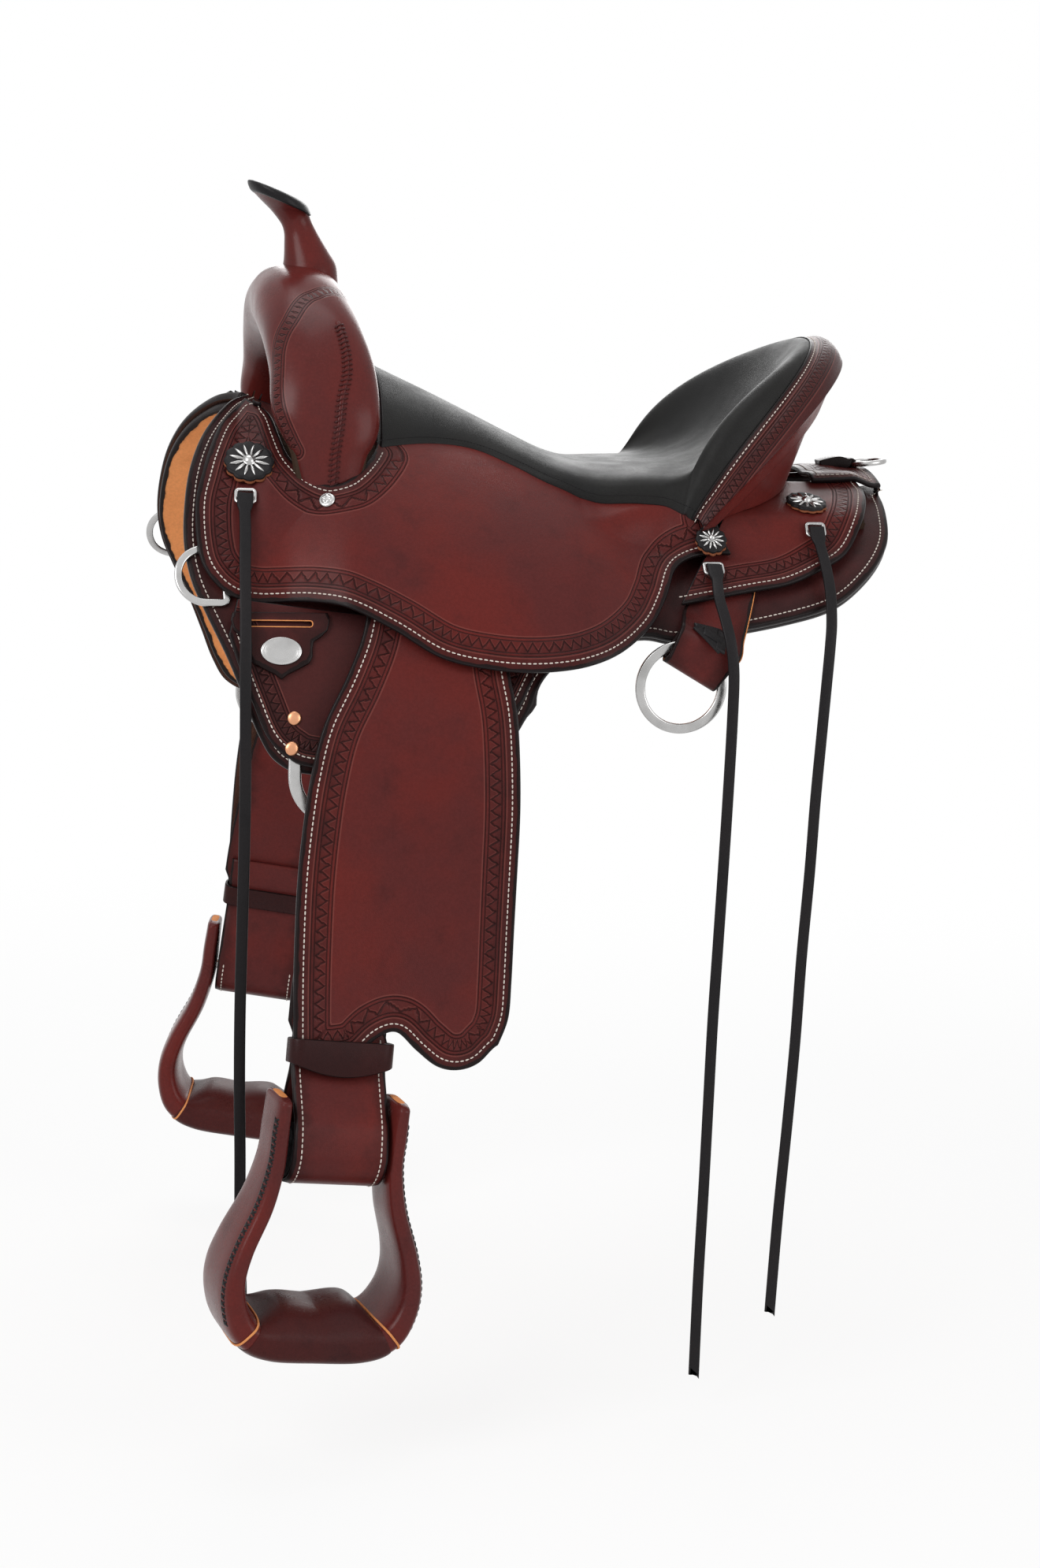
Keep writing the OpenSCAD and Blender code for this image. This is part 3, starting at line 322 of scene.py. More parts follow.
@dataclass
class Sheet:
    """A leather sheet with a rounded rim.

    The grid is the outer face, with its first index to the rear and its second up.
    """

    grid: Array
    thick: Array | float
    bulge: float = 1.0
    border: Sequence[int] = ()
    worked_inside: bool = False
    rim_steps: int = 6

    def border_path(self) -> Array:
        """The worked edge as points."""
        return self.grid.reshape(-1, 3)[list(self.border)]

    def stitches(self, thread: Thread) -> Shape:
        """A row of stitches beside the worked edge."""
        normal = grid_normals(self.grid).reshape(-1, 3)
        return thread.row(self.border_path(), self.grid.reshape(-1, 3), normal)

    def shape(self) -> Shape:
        """The closed sheet: outer face, rounded rim and flesh side."""
        n, m, _ = self.grid.shape
        normal = grid_normals(self.grid).reshape(-1, 3)
        outer = self.grid.reshape(-1, 3)
        thick = np.broadcast_to(np.asarray(self.thick, float), (n, m)).reshape(-1, 1)
        edge, along = np.full(n * m, FAR), np.zeros(n * m)
        if len(self.border):
            edge, along = nearest_on(self.border_path(), outer)
        out = Shape()
        out.add(outer, grid_faces(n, m), Part.FACE.value, edge, along)
        inside = [f[::-1] for f in grid_faces(n, m)]
        keep = (edge, along) if self.worked_inside else (None, None)
        back = out.add(outer - normal * thick, inside, Part.FLESH.value, *keep)
        loop = rim_loop(n, m)
        rim = outer[loop]
        way = unit(np.roll(rim, -1, axis=0) - np.roll(rim, 1, axis=0))
        away = unit(np.cross(way, normal[loop]))
        below = list(loop)
        for k in range(1, self.rim_steps + 1):
            turn = math.pi * k / self.rim_steps
            if k < self.rim_steps:
                drop = normal[loop] * thick[loop] * (1 - math.cos(turn)) / 2
                ring = rim + away * self.bulge * math.sin(turn) - drop
                first = out.add(ring, [], edge=np.zeros(len(loop)), along=along[loop])
                above, below = below, list(range(first, first + len(loop)))
            else:
                above, below = below, [back + i for i in loop]
            quads = [
                [above[a], below[a], below[b], above[b]]
                for a, b in ((a, (a + 1) % len(loop)) for a in range(len(loop)))
            ]
            out.stitch_faces(quads, Part.EDGE.value)
        return out


def rounded(width: float, thick: float, radius: float, steps: int = 4) -> Array:
    """A rounded rectangle as a section, against the clock.

    Args:
        width: its size along the first direction.
        thick: its size along the second direction.
        radius: the radius of its corners.
        steps: points on each corner less one.

    Returns:
        Rows of two numbers.
    """
    radius = min(radius, width / 2 - 1e-3, thick / 2 - 1e-3)
    out = []
    for corner, (sx, sy) in enumerate(((1, -1), (1, 1), (-1, 1), (-1, -1))):
        for k in range(steps + 1):
            a = math.radians(-90 + 90 * corner + 90 * k / steps)
            x = sx * (width / 2 - radius) + radius * math.cos(a)
            out.append((x, sy * (thick / 2 - radius) + radius * math.sin(a)))
    return np.array(out)


def sweep(
    path: Array,
    side: Array,
    up: Array,
    section: Array,
    closed: bool = False,
    part: int = 0,
    cap_part: int | None = None,
    edge: Array | None = None,
) -> Shape:
    """A solid of one section along a path.

    Args:
        path: centre points.
        side: the section's first direction at each point.
        up: the section's second direction at each point.
        section: rows of two numbers, or one such set for each point.
        closed: whether the path closes on itself.
        part: the material slot of the surface.
        cap_part: the slot of the end faces, if it differs.
        edge: distance from the worked edge for each point of the section.

    Returns:
        The shape.
    """
    k = len(path)
    section = np.broadcast_to(section, (k, *np.shape(section)[-2:]))
    side, up = np.broadcast_to(side, (k, 3)), np.broadcast_to(up, (k, 3))
    rings = path[:, None] + side[:, None] * section[..., :1] + up[:, None] * section[..., 1:]
    s = rings.shape[1]
    mid = k // 2
    flip = np.dot(np.cross(side[mid], up[mid]), path[(mid + 1) % k] - path[mid - 1]) > 0
    faces = grid_faces(k, s, wrap=True)
    if closed:
        faces += [[(k - 1) * s + j, j, (j + 1) % s, (k - 1) * s + (j + 1) % s] for j in range(s)]
    ends = [] if closed else [list(range(s)), [k * s - 1 - j for j in range(s)]]
    if flip:
        faces, ends = [f[::-1] for f in faces], [f[::-1] for f in ends]
    run = np.r_[0, np.cumsum(np.linalg.norm(np.diff(path, axis=0), axis=1))]
    out = Shape()
    edges = np.full(k * s, FAR) if edge is None else np.tile(edge, k)
    out.add(rings, faces, part, edges, np.repeat(run, s))
    out.stitch_faces(ends, part if cap_part is None else cap_part)
    return out


def tangents(path: Array, closed: bool = False) -> Array:
    """Directions along a path."""
    if closed:
        return unit(np.roll(path, -1, axis=0) - np.roll(path, 1, axis=0))
    return unit(np.gradient(path, axis=0))


@dataclass
class Seat3:
    """A place on a surface: a point and directions to the rear, up and out."""

    origin: Array
    along: Array
    up: Array
    out: Array

    def at(self, flat: Array, lift: Array | float = 0) -> Array:
        """Points from rows of flat x, y and a lift."""
        flat = np.asarray(flat, float)
        lift = np.broadcast_to(np.asarray(lift, float), flat.shape[:-1])[..., None]
        return self.origin + flat[..., :1] * self.along + flat[..., 1:2] * self.up + lift * self.out


def seat_on(point: Array, along: Array, up: Array) -> Seat3:
    """Seats a flat piece on a surface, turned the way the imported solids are."""
    out = unit(np.cross(along, up))
    rear = unit(np.array([-out[1], out[0], 0.0]))
    return Seat3(np.asarray(point, float), rear, np.cross(out, rear), out)


def lathe(place: Seat3, profile: Sequence, steps: int = 40, part: int = 0) -> Shape:
    """A turned piece on a surface from rows of radius and height, from the middle out."""
    p = np.asarray(profile, float)
    flat = p[:, None, :1] * circle(1, steps)
    out = Shape()
    out.add(place.at(flat, p[:, 1:2]), grid_faces(len(p), steps, wrap=True), part)
    return out


def band(seat: Seat3, flat: Array, section: Array, lift: float) -> Shape:
    """A band of one section along a closed outline on a surface."""
    path = seat.at(flat, lift)
    return sweep(path, np.cross(tangents(path, closed=True), seat.out), seat.out, section, closed=True)


def repeated(section: Array, count: int) -> Array:
    """A section for each of a number of points, to be changed point by point."""
    return np.broadcast_to(section, (count, *section.shape)).copy()


def outline(corners: Sequence, radii: Sequence, step: float = 2.0) -> Array:
    """A closed outline with rounded corners.

    Args:
        corners: rows of two numbers, against the clock.
        radii: the radius at each corner.
        step: the spacing of the points.

    Returns:
        Even points, as rows of two numbers.
    """
    p = np.array(corners, float)
    out = []
    for k, r in enumerate(radii):
        a, b, c = p[k - 1], p[k], p[(k + 1) % len(p)]
        u, v = unit(a - b), unit(c - b)
        half = math.acos(float(np.clip(np.dot(u, v), -1, 1))) / 2
        reach = r / math.tan(half)
        centre = b + unit(u + v) * r / math.sin(half)
        start, end = b + u * reach - centre, b + v * reach - centre
        first = math.atan2(start[1], start[0])
        turn = (math.atan2(end[1], end[0]) - first + math.pi) % (2 * math.pi) - math.pi
        for w in np.linspace(0, 1, 14):
            at = first + turn * w
            out.append(centre + r * np.array([math.cos(at), math.sin(at)]))
    out.append(out[0])
    even, _ = resample(np.c_[np.array(out), np.zeros(len(out))], step)
    return even[:-1, :2]


@dataclass
class Thread:
    """A row of sewn stitches."""

    inset: float = 5.6
    pitch: float = 4.3
    length: float = 3.1
    width: float = 1.1
    proud: float = 0.35

    def row(self, path: Array, surface: Array, normal: Array) -> Shape:
        """Stitches beside an edge that runs against the clock.

        Args:
            path: the edge's points.
            surface: points of the sewn face.
            normal: the face's normals at those points.

        Returns:
            The stitches as one shape.
        """
        tree = search_tree(surface)
        edge, _ = resample(path, 2.0)
        near = [tree.find(p)[1] for p in edge]
        line = edge + np.cross(normal[near], tangents(edge)) * self.inset
        clear = nearest_on(path, line)[0] > 0.9 * self.inset
        return self.along(calmed(line[clear], 3), surface, normal, tree)

    def along(self, line: Array, surface: Array, normal: Array, tree: KDTree) -> Shape:
        """Stitches along a line that lies on a face.

        Args:
            line: the line's points.
            surface: points of the sewn face.
            normal: the face's normals at those points.
            tree: the search tree of those points.

        Returns:
            The stitches as one shape.
        """
        spots, _ = resample(line, self.pitch)
        way = tangents(spots)
        near = [tree.find(p)[1] for p in spots]
        up = normal[near]
        drop = np.sum((spots - surface[near]) * up, axis=1, keepdims=True)
        spots = spots - up * (drop - self.proud * 0.5)
        side = unit(np.cross(up, way))
        out = Shape()
        sides = 6
        turn = np.linspace(0, 2 * math.pi, sides, endpoint=False)
        rings = [(-1, 0.35), (-0.55, 1), (0.55, 1), (1, 0.35)]
        local = np.array(
            [
                (x * self.length / 2, r * self.width / 2 * math.cos(t), r * self.proud * math.sin(t))
                for x, r in rings
                for t in turn
            ]
        )
        faces = [f[::-1] for f in grid_faces(len(rings), sides, wrap=True)]
        faces += [list(range(sides)), [len(local) - 1 - j for j in range(sides)]]
        for p, d, s, u in zip(spots, way, side, up):
            out.add(p + local[:, :1] * d + local[:, 1:2] * s + local[:, 2:] * u, faces)
        return out


class Graph:
    """Short calls that add and join nodes in one shader tree."""

    def __init__(self, tree: bpy.types.NodeTree) -> None:
        """Works on one node tree."""
        self.tree = tree

    def node(self, kind: str, **settings) -> bpy.types.Node:
        """A new node with some of its settings."""
        made = self.tree.nodes.new(kind)
        for name, value in settings.items():
            setattr(made, name, value)
        return made

    def feed(self, socket: bpy.types.NodeSocket, value) -> None:
        """Links a socket to another or gives it a value."""
        if isinstance(value, bpy.types.NodeSocket):
            self.tree.links.new(value, socket)
        elif isinstance(value, tuple) and len(value) == 3 and socket.type == "RGBA":
            socket.default_value = (*value, 1.0)
        else:
            socket.default_value = value

    def math(self, operation: str, *values, clamp: bool = False) -> bpy.types.NodeSocket:
        """A sum, product or other operation on numbers."""
        made = self.node("ShaderNodeMath", operation=operation, use_clamp=clamp)
        for socket, value in zip(made.inputs, values):
            self.feed(socket, value)
        return made.outputs[0]

    def times(self, a, b) -> bpy.types.NodeSocket:
        """The product of two numbers."""
        return self.math("MULTIPLY", a, b)

    def plus(self, a, b, clamp: bool = False) -> bpy.types.NodeSocket:
        """The sum of two numbers."""
        return self.math("ADD", a, b, clamp=clamp)

    def most(self, a, b) -> bpy.types.NodeSocket:
        """The larger of two numbers."""
        return self.math("MAXIMUM", a, b)

    def step(self, value, low, high, start: float = 0, end: float = 1) -> bpy.types.NodeSocket:
        """A smooth change from start to end as a value goes from low to high."""
        made = self.node("ShaderNodeMapRange", interpolation_type="SMOOTHSTEP")
        for socket, given in zip(made.inputs, (value, low, high, start, end)):
            self.feed(socket, given)
        return made.outputs[0]

    def line(self, value, centre: float, half: float) -> bpy.types.NodeSocket:
        """1 where a value is at centre, 0 where it is further than half from it."""
        away = self.math("ABSOLUTE", self.math("SUBTRACT", value, centre))
        return self.step(away, 0.0, half, 1, 0)

    def blend(self, factor, a, b, mode: str = "MIX") -> bpy.types.NodeSocket:
        """A mix of two colours."""
        made = self.node("ShaderNodeMix", data_type="RGBA", blend_type=mode)
        for index, value in ((0, factor), (6, a), (7, b)):
            self.feed(made.inputs[index], value)
        return made.outputs[2]

    def noise(self, coords, scale: float, detail: float = 3, rough: float = 0.55):
        """A noise value at a scale."""
        made = self.node("ShaderNodeTexNoise")
        for name, value in (("Vector", coords), ("Scale", scale), ("Detail", detail)):
            self.feed(made.inputs[name], value)
        made.inputs["Roughness"].default_value = rough
        return made.outputs[0]

    def grey(self, value: bpy.types.NodeSocket) -> bpy.types.NodeSocket:
        """A grey colour from a value."""
        made = self.node("ShaderNodeCombineColor")
        for socket in made.inputs:
            self.feed(socket, value)
        return made.outputs[0]

    def bump(self, height, strength: float, depth: float, normal=None) -> bpy.types.NodeSocket:
        """A normal from a height, with its depth in metres."""
        made = self.node("ShaderNodeBump")
        made.inputs["Strength"].default_value = strength
        made.inputs["Distance"].default_value = depth
        self.feed(made.inputs["Height"], height)
        if normal is not None:
            self.feed(made.inputs["Normal"], normal)
        return made.outputs["Normal"]

    def group(self, tree: bpy.types.NodeTree, **values) -> bpy.types.Node:
        """Places a node group and feeds its inputs by name."""
        made = self.node("ShaderNodeGroup", node_tree=tree)
        for name, value in values.items():
            self.feed(made.inputs[name], value)
        return made


class Effects:
    """Node groups that several finishes share, each built once."""

    def __init__(self) -> None:
        """Builds all the groups."""
        self.grain = self._grain()
        self.stamp = self._stamp()
        self.burnish = self._burnish()
        self.wear = self._wear()

    @staticmethod
    def _start(name: str, inputs: Sequence, outputs: Sequence) -> tuple[Graph, dict, dict]:
        """A new group with its sockets.

        Args:
            name: the group's name.
            inputs: pairs of socket name and default, a tuple for a colour.
            outputs: pairs of socket name and socket type.

        Returns:
            The graph, the inputs and the outputs by name.
        """
        tree = bpy.data.node_groups.new(name, "ShaderNodeTree")
        for title, value in inputs:
            kind = COLOUR if isinstance(value, tuple) else VALUE
            socket = tree.interface.new_socket(title, in_out="INPUT", socket_type=kind)
            socket.default_value = (*value, 1.0) if isinstance(value, tuple) else value
        for title, kind in outputs:
            tree.interface.new_socket(title, in_out="OUTPUT", socket_type=kind)
        graph = Graph(tree)
        start, end = graph.node("NodeGroupInput"), graph.node("NodeGroupOutput")
        return graph, {s.name: s for s in start.outputs}, {s.name: s for s in end.inputs}

    def _grain(self) -> bpy.types.NodeTree:
        """Leather grain: mottled dye, pores and creases."""
        graph, given, out = self._start(
            "leather_grain",
            [("Base", (0.1, 0.03, 0.03)), ("Deep", (0.03, 0.01, 0.01)), ("Warm", (0.15, 0.03, 0.02)),
             ("Pores", 1.0), ("Rough", 0.42)],
            [("Color", COLOUR), ("Height", VALUE), ("Roughness", VALUE)],
        )
        coords = graph.node("ShaderNodeTexCoord").outputs["Object"]
        cloud = graph.noise(coords, 10, 4, 0.55)
        patch = graph.noise(coords, 32, 4, 0.6)
        fine = graph.noise(coords, 420, 3, 0.6)
        cells = graph.node("ShaderNodeTexVoronoi", feature="DISTANCE_TO_EDGE")
        graph.feed(cells.inputs["Vector"], coords)
        cells.inputs["Scale"].default_value = 620
        colour = graph.blend(graph.step(cloud, 0.34, 0.66), given["Base"], given["Warm"])
        colour = graph.blend(graph.step(patch, 0.5, 0.8, 0, 0.42), colour, given["Deep"])
        shade = graph.step(fine, 0.3, 0.7, 0.93, 1.06)
        graph.feed(out["Color"], graph.blend(1.0, colour, graph.grey(shade), "MULTIPLY"))
        pores = graph.step(cells.outputs["Distance"], 0.0, 0.2)
        height = graph.plus(graph.times(pores, 0.5), graph.times(fine, 0.5))
        graph.feed(out["Height"], graph.times(height, given["Pores"]))
        smear = graph.step(patch, 0.3, 0.7, -0.04, 0.06)
        vary = graph.plus(smear, graph.step(fine, 0.3, 0.7, -0.02, 0.03))
        graph.feed(out["Roughness"], graph.plus(given["Rough"], vary, clamp=True))
        return graph.tree

    def _stamp(self) -> bpy.types.NodeTree:
        """A stamped border: a row of zigzag cuts between double lines, with painted shade in the cuts and
        painted highlights beside them.
        """
        graph, given, out = self._start(
            "stamped_border",
            [("Edge", FAR), ("Along", 0.0), ("Start", 14.0), ("Width", 9.6), ("Pitch", 9.4)],
            [("Height", VALUE), ("Shade", VALUE), ("Glint", VALUE)],
        )
        past = graph.math("SUBTRACT", given["Edge"], given["Start"])
        across = graph.math("DIVIDE", past, given["Width"])
        inside = graph.times(graph.step(across, 0.0, 0.06), graph.step(across, 0.94, 1.0, 1, 0))
        lines = graph.line(across, -0.3, 0.075)
        for place in (-0.02, 1.02, 1.3):
            lines = graph.most(lines, graph.line(across, place, 0.07))
        turn = graph.math("FRACT", graph.math("DIVIDE", given["Along"], given["Pitch"]))
        wave = graph.math("ABSOLUTE", graph.math("SUBTRACT", graph.times(turn, 2.0), 1.0))
        off = graph.math("SUBTRACT", across, graph.math("MULTIPLY_ADD", wave, 0.76, 0.12))
        stroke = graph.times(graph.line(off, 0.0, 0.17), inside)
        below = graph.times(graph.step(off, -0.45, 0.0, 0, 1), graph.step(off, 0.0, 0.02, 1, 0))
        pressed = graph.times(below, inside)
        height = graph.plus(graph.times(stroke, 0.7), graph.times(pressed, 0.4))
        height = graph.most(height, graph.times(lines, 0.85))
        graph.feed(out["Height"], graph.times(height, -1.0))
        # Painted shade: darker in the zigzag cuts, the pressed ground and the double lines
        shade = graph.most(graph.times(stroke, 0.72), graph.times(pressed, 0.34))
        shade = graph.most(shade, graph.times(inside, 0.16))
        graph.feed(out["Shade"], graph.most(shade, graph.times(lines, 0.62)))
        # Painted highlights beside the zigzag cuts and just outside the double lines
        glint = graph.times(graph.line(off, 0.21, 0.1), graph.times(inside, 0.55))
        for place in (-0.43, 1.43):
            glint = graph.most(glint, graph.line(across, place, 0.09))
        graph.feed(out["Glint"], glint)
        return graph.tree

    def _burnish(self) -> bpy.types.NodeTree:
        """Darkening towards a rubbed edge, with an uneven limit."""
        graph, given, out = self._start(
            "burnished_edge",
            [("Color", (0.1, 0.03, 0.03)), ("Dark", (0.02, 0.01, 0.01)), ("Edge", FAR), ("Reach", 26.0),
             ("Line", 2.2)],
            [("Color", COLOUR), ("Mask", VALUE)],
        )
        coords = graph.node("ShaderNodeTexCoord").outputs["Object"]
        sway = graph.step(graph.noise(coords, 60, 3), 0.3, 0.7, 0.7, 1.3)
        place = graph.times(given["Edge"], sway)
        soft = graph.step(place, 0.0, given["Reach"], 0.6, 0)
        hard = graph.step(place, graph.times(given["Line"], 0.75), given["Line"], 1, 0)
        mask = graph.most(soft, hard)
        graph.feed(out["Color"], graph.blend(mask, given["Color"], given["Dark"]))
        graph.feed(out["Mask"], mask)
        return graph.tree

    def _wear(self) -> bpy.types.NodeTree:
        """Handled metal: fine scratches, smears and dull spots."""
        graph, given, out = self._start(
            "handled_metal",
            [("Base", (0.7, 0.7, 0.7)), ("Dull", (0.4, 0.39, 0.38)), ("Rough", 0.25)],
            [("Color", COLOUR), ("Roughness", VALUE), ("Height", VALUE)],
        )
        coords = graph.node("ShaderNodeTexCoord").outputs["Object"]
        smear = graph.noise(coords, 40, 3, 0.5)
        spots = graph.noise(coords, 190, 2, 0.5)
        dulled = graph.step(smear, 0.42, 0.8, 0, 0.5)
        graph.feed(out["Color"], graph.blend(dulled, given["Base"], given["Dull"]))
        vary = graph.step(spots, 0.3, 0.7, -0.03, 0.06)
        graph.feed(out["Roughness"], graph.plus(given["Rough"], vary, clamp=True))
        graph.feed(out["Height"], graph.plus(graph.times(spots, 0.5), smear))
        return graph.tree


@dataclass(frozen=True)
class Leather:
    """A leather finish: dye colours, gloss, grain and worked border."""

    name: str
    base: Colour
    deep: Colour
    warm: Colour
    rough: float = 0.36
    coat: float = 0.05
    specular: float = 0.09
    pores: float = 1.0
    bump: float = 0.22
    reach: float = 24.0
    line: float = 2.4
    # Colour of the dyed edge, and of the painted shade in the stamped cuts
    dark: Colour = (0.009, 0.004, 0.004)
    # Colour of the painted highlights beside the stamped cuts
    light: Colour = (0.25, 0.075, 0.062)
    worked: bool = True
    stamped: bool = False
    start: float = 14.0
    width: float = 9.6
    pitch: float = 9.4

    def material(self, effects: Effects) -> bpy.types.Material:
        """The finish as a material.

        Args:
            effects: the shared node groups.

        Returns:
            The material.
        """
        made = bpy.data.materials.new(self.name)
        made.use_nodes = True
        graph = Graph(made.node_tree)
        shader = made.node_tree.nodes["Principled BSDF"]
        dyes = {"Base": self.base, "Deep": self.deep, "Warm": self.warm}
        skin = graph.group(effects.grain, **dyes, Pores=self.pores, Rough=self.rough)
        colour = skin.outputs["Color"]
        normal = graph.bump(skin.outputs["Height"], self.bump, 0.0005)
        if self.worked:
            edge = graph.node("ShaderNodeAttribute", attribute_name="edge").outputs["Fac"]
            limits = {"Reach": self.reach, "Line": self.line}
            rubbed = graph.group(effects.burnish, Color=colour, Dark=self.dark, Edge=edge, **limits)
            colour = rubbed.outputs["Color"]
        if self.stamped:
            along = graph.node("ShaderNodeAttribute", attribute_name="along").outputs["Fac"]
            sizes = {"Start": self.start, "Width": self.width, "Pitch": self.pitch}
            cut = graph.group(effects.stamp, Edge=edge, Along=along, **sizes)
            # Painted shade in the stamped cuts, then painted highlights beside them
            colour = graph.blend(cut.outputs["Shade"], colour, self.dark)
            colour = graph.blend(graph.times(cut.outputs["Glint"], 0.42), colour, self.light)
            normal = graph.bump(cut.outputs["Height"], 0.9, 0.0017, normal)
        graph.feed(shader.inputs["Base Color"], colour)
        graph.feed(shader.inputs["Roughness"], skin.outputs["Roughness"])
        graph.feed(shader.inputs["Normal"], normal)
        shader.inputs["Coat Weight"].default_value = self.coat
        shader.inputs["Coat Roughness"].default_value = 0.22
        shader.inputs["Specular IOR Level"].default_value = self.specular
        return made


@dataclass(frozen=True)
class Metal:
    """A metal finish with handling marks."""

    name: str
    base: Colour
    dull: Colour
    rough: float

    def material(self, effects: Effects) -> bpy.types.Material:
        """The finish as a material."""
        made = bpy.data.materials.new(self.name)
        made.use_nodes = True
        graph = Graph(made.node_tree)
        shader = made.node_tree.nodes["Principled BSDF"]
        worn = graph.group(effects.wear, Base=self.base, Dull=self.dull, Rough=self.rough)
        graph.feed(shader.inputs["Base Color"], worn.outputs["Color"])
        graph.feed(shader.inputs["Roughness"], worn.outputs["Roughness"])
        graph.feed(shader.inputs["Normal"], graph.bump(worn.outputs["Height"], 0.05, 0.0002))
        shader.inputs["Metallic"].default_value = 1.0
        return made


def dye(base: Colour, deep: Colour, warm: Colour) -> dict[str, Colour]:
    """The three colours that a leather is mottled with."""
    return {"base": base, "deep": deep, "warm": warm}


class Finishes:
    """Every finish on the saddle, made once."""

    def __init__(self) -> None:
        """Makes the shared effects and all materials."""
        effects = Effects()

        def leather(name: str, colours: dict[str, Colour], **settings) -> bpy.types.Material:
            """A leather of one dye."""
            return Leather(name, **colours, **settings).material(effects)

        red = dye((0.088, 0.017, 0.016), (0.036, 0.010, 0.010), (0.122, 0.017, 0.014))
        brown = dye((0.050, 0.015, 0.015), (0.022, 0.008, 0.009), (0.064, 0.014, 0.013))
        black = dye((0.013, 0.012, 0.013), (0.007, 0.007, 0.008), (0.016, 0.014, 0.015))
        soft_black = dye((0.014, 0.014, 0.014), (0.010, 0.010, 0.010), (0.017, 0.0165, 0.016))
        tan = dye((0.66, 0.25, 0.085), (0.46, 0.16, 0.05), (0.74, 0.30, 0.11))
        russet = dye((0.20, 0.066, 0.030), (0.12, 0.036, 0.016), (0.25, 0.085, 0.040))
        suede = dye((0.060, 0.026, 0.019), (0.032, 0.014, 0.011), (0.075, 0.034, 0.023))
        cream = dye((0.66, 0.59, 0.53), (0.46, 0.39, 0.34), (0.74, 0.67, 0.60))
        # Tree wood stained very dark, partly painted shade: the tree showing in gaps under the leathers
        # reads as shadow
        shadow_dark_timber = dye((0.040, 0.024, 0.016), (0.026, 0.015, 0.010), (0.052, 0.030, 0.020))
        plain = {"line": 0.0, "reach": 0.1}
        dry = {"coat": 0.0}
        self.oxblood = leather("oxblood_plain", red, reach=18)
        self.tooled = leather("oxblood_tooled", red, stamped=True)
        self.fork = leather(
            "oxblood_fork", red, **plain, rough=0.22, coat=0.12, bump=0.12, stamped=True, start=-4.2,
            width=8.4, pitch=6.0,
        )
        self.glossy = leather(
            "oxblood_glossy", red, rough=0.22, coat=0.1, bump=0.14, reach=10, line=1.2
        )
        self.dark = leather("dark_plain", brown, rough=0.34)
        self.dark_tooled = leather("dark_tooled", brown, stamped=True, start=11.0, width=8.4, pitch=8.0)
        self.hobble = leather(
            "dark_glossy", brown, rough=0.3, coat=0.04, specular=0.07, reach=7, line=0.8
        )
        self.binding = leather(
            "binding_tooled", brown, stamped=True, start=10.0, width=8.0, pitch=6.4, line=1.2, reach=8
        )
        self.rim = leather("black_edge", black, **plain, rough=0.32, coat=0.05)
        self.black = leather("black_plain", black, **plain, rough=0.42)
        self.seat = leather(
            "seat_black", soft_black, **plain, **dry, rough=0.46, specular=0.1, pores=1.3, bump=0.2
        )
        self.raw = leather(
            "raw_tan", tan, **dry, rough=0.62, line=3.2, reach=5.0, dark=(0.016, 0.012, 0.011)
        )
        self.backing = leather("concho_backing", russet, **plain, **dry, rough=0.6)
        self.raw_edge = leather("raw_edge", tan, **plain, **dry, rough=0.7)
        self.flesh = leather("flesh_side", suede, **plain, **dry, rough=0.72, pores=2.2, bump=0.6)
        self.thread = leather("cream_thread", cream, **plain, **dry, rough=0.7)
        steel = Metal("nickel_steel", (0.50, 0.495, 0.49), (0.26, 0.255, 0.25), 0.24)
        copper = Metal("copper_rivet", (0.70, 0.34, 0.19), (0.38, 0.17, 0.09), 0.3)
        iron = Metal("dark_iron", (0.26, 0.25, 0.25), (0.14, 0.13, 0.12), 0.5)
        self.steel, self.copper, self.iron = (metal.material(effects) for metal in (steel, copper, iron))
        self.hidden = leather("oxblood_hidden", red, worked=False)
        self.sleeve = leather("black_sleeve", black, worked=False, rough=0.5)
        self.wood = leather("tree_wood", shadow_dark_timber, **dry, rough=0.6, worked=False)
        self.by_slot = {
            Slot.OXBLOOD: self.hidden,
            Slot.DARK: self.hidden,
            Slot.BLACK: self.sleeve,
            Slot.SEAT: self.sleeve,
            Slot.LINING: self.hidden,
            Slot.STEEL: self.steel,
            Slot.COPPER: self.copper,
            Slot.WOOD: self.wood,
            Slot.STRAINER: self.steel,
            Slot.IRON: self.iron,
            Slot.SLEEVE: self.sleeve,
        }

    def sheet(self, face: bpy.types.Material) -> list[bpy.types.Material]:
        """The materials of a sheet in the order of its parts: face, edge and flesh side."""
        return [face, self.rim, self.flesh]


def place(
    shape: Shape,
    name: str,
    finishes: Sequence,
    body: str,
    slot: Slot,
    *nodes: str,
    side: Side | None = None,
) -> bpy.types.Object:
    """Makes a piece that rides a body, hides the nodes that it stands for and logs them.

    Args:
        shape: the piece as it is on the near side.
        name: its name, which the tag of its side follows.
        finishes: materials in the order of the shape's parts.
        body: the body that carries it.
        slot: the record's slot for it; not used.
        nodes: the nodes that it replaces.
        side: the side of a piece that both sides have.

    Returns:
        The piece.
    """
    made = shape.make(f"{name}_{side.tag}" if side else name, finishes, side or Side.LEFT)
    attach(made, body)
    if nodes:
        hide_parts(*nodes)
    log.info("%s on %s stands for %s", made.name, body, ", ".join(nodes) or "no node")
    return made


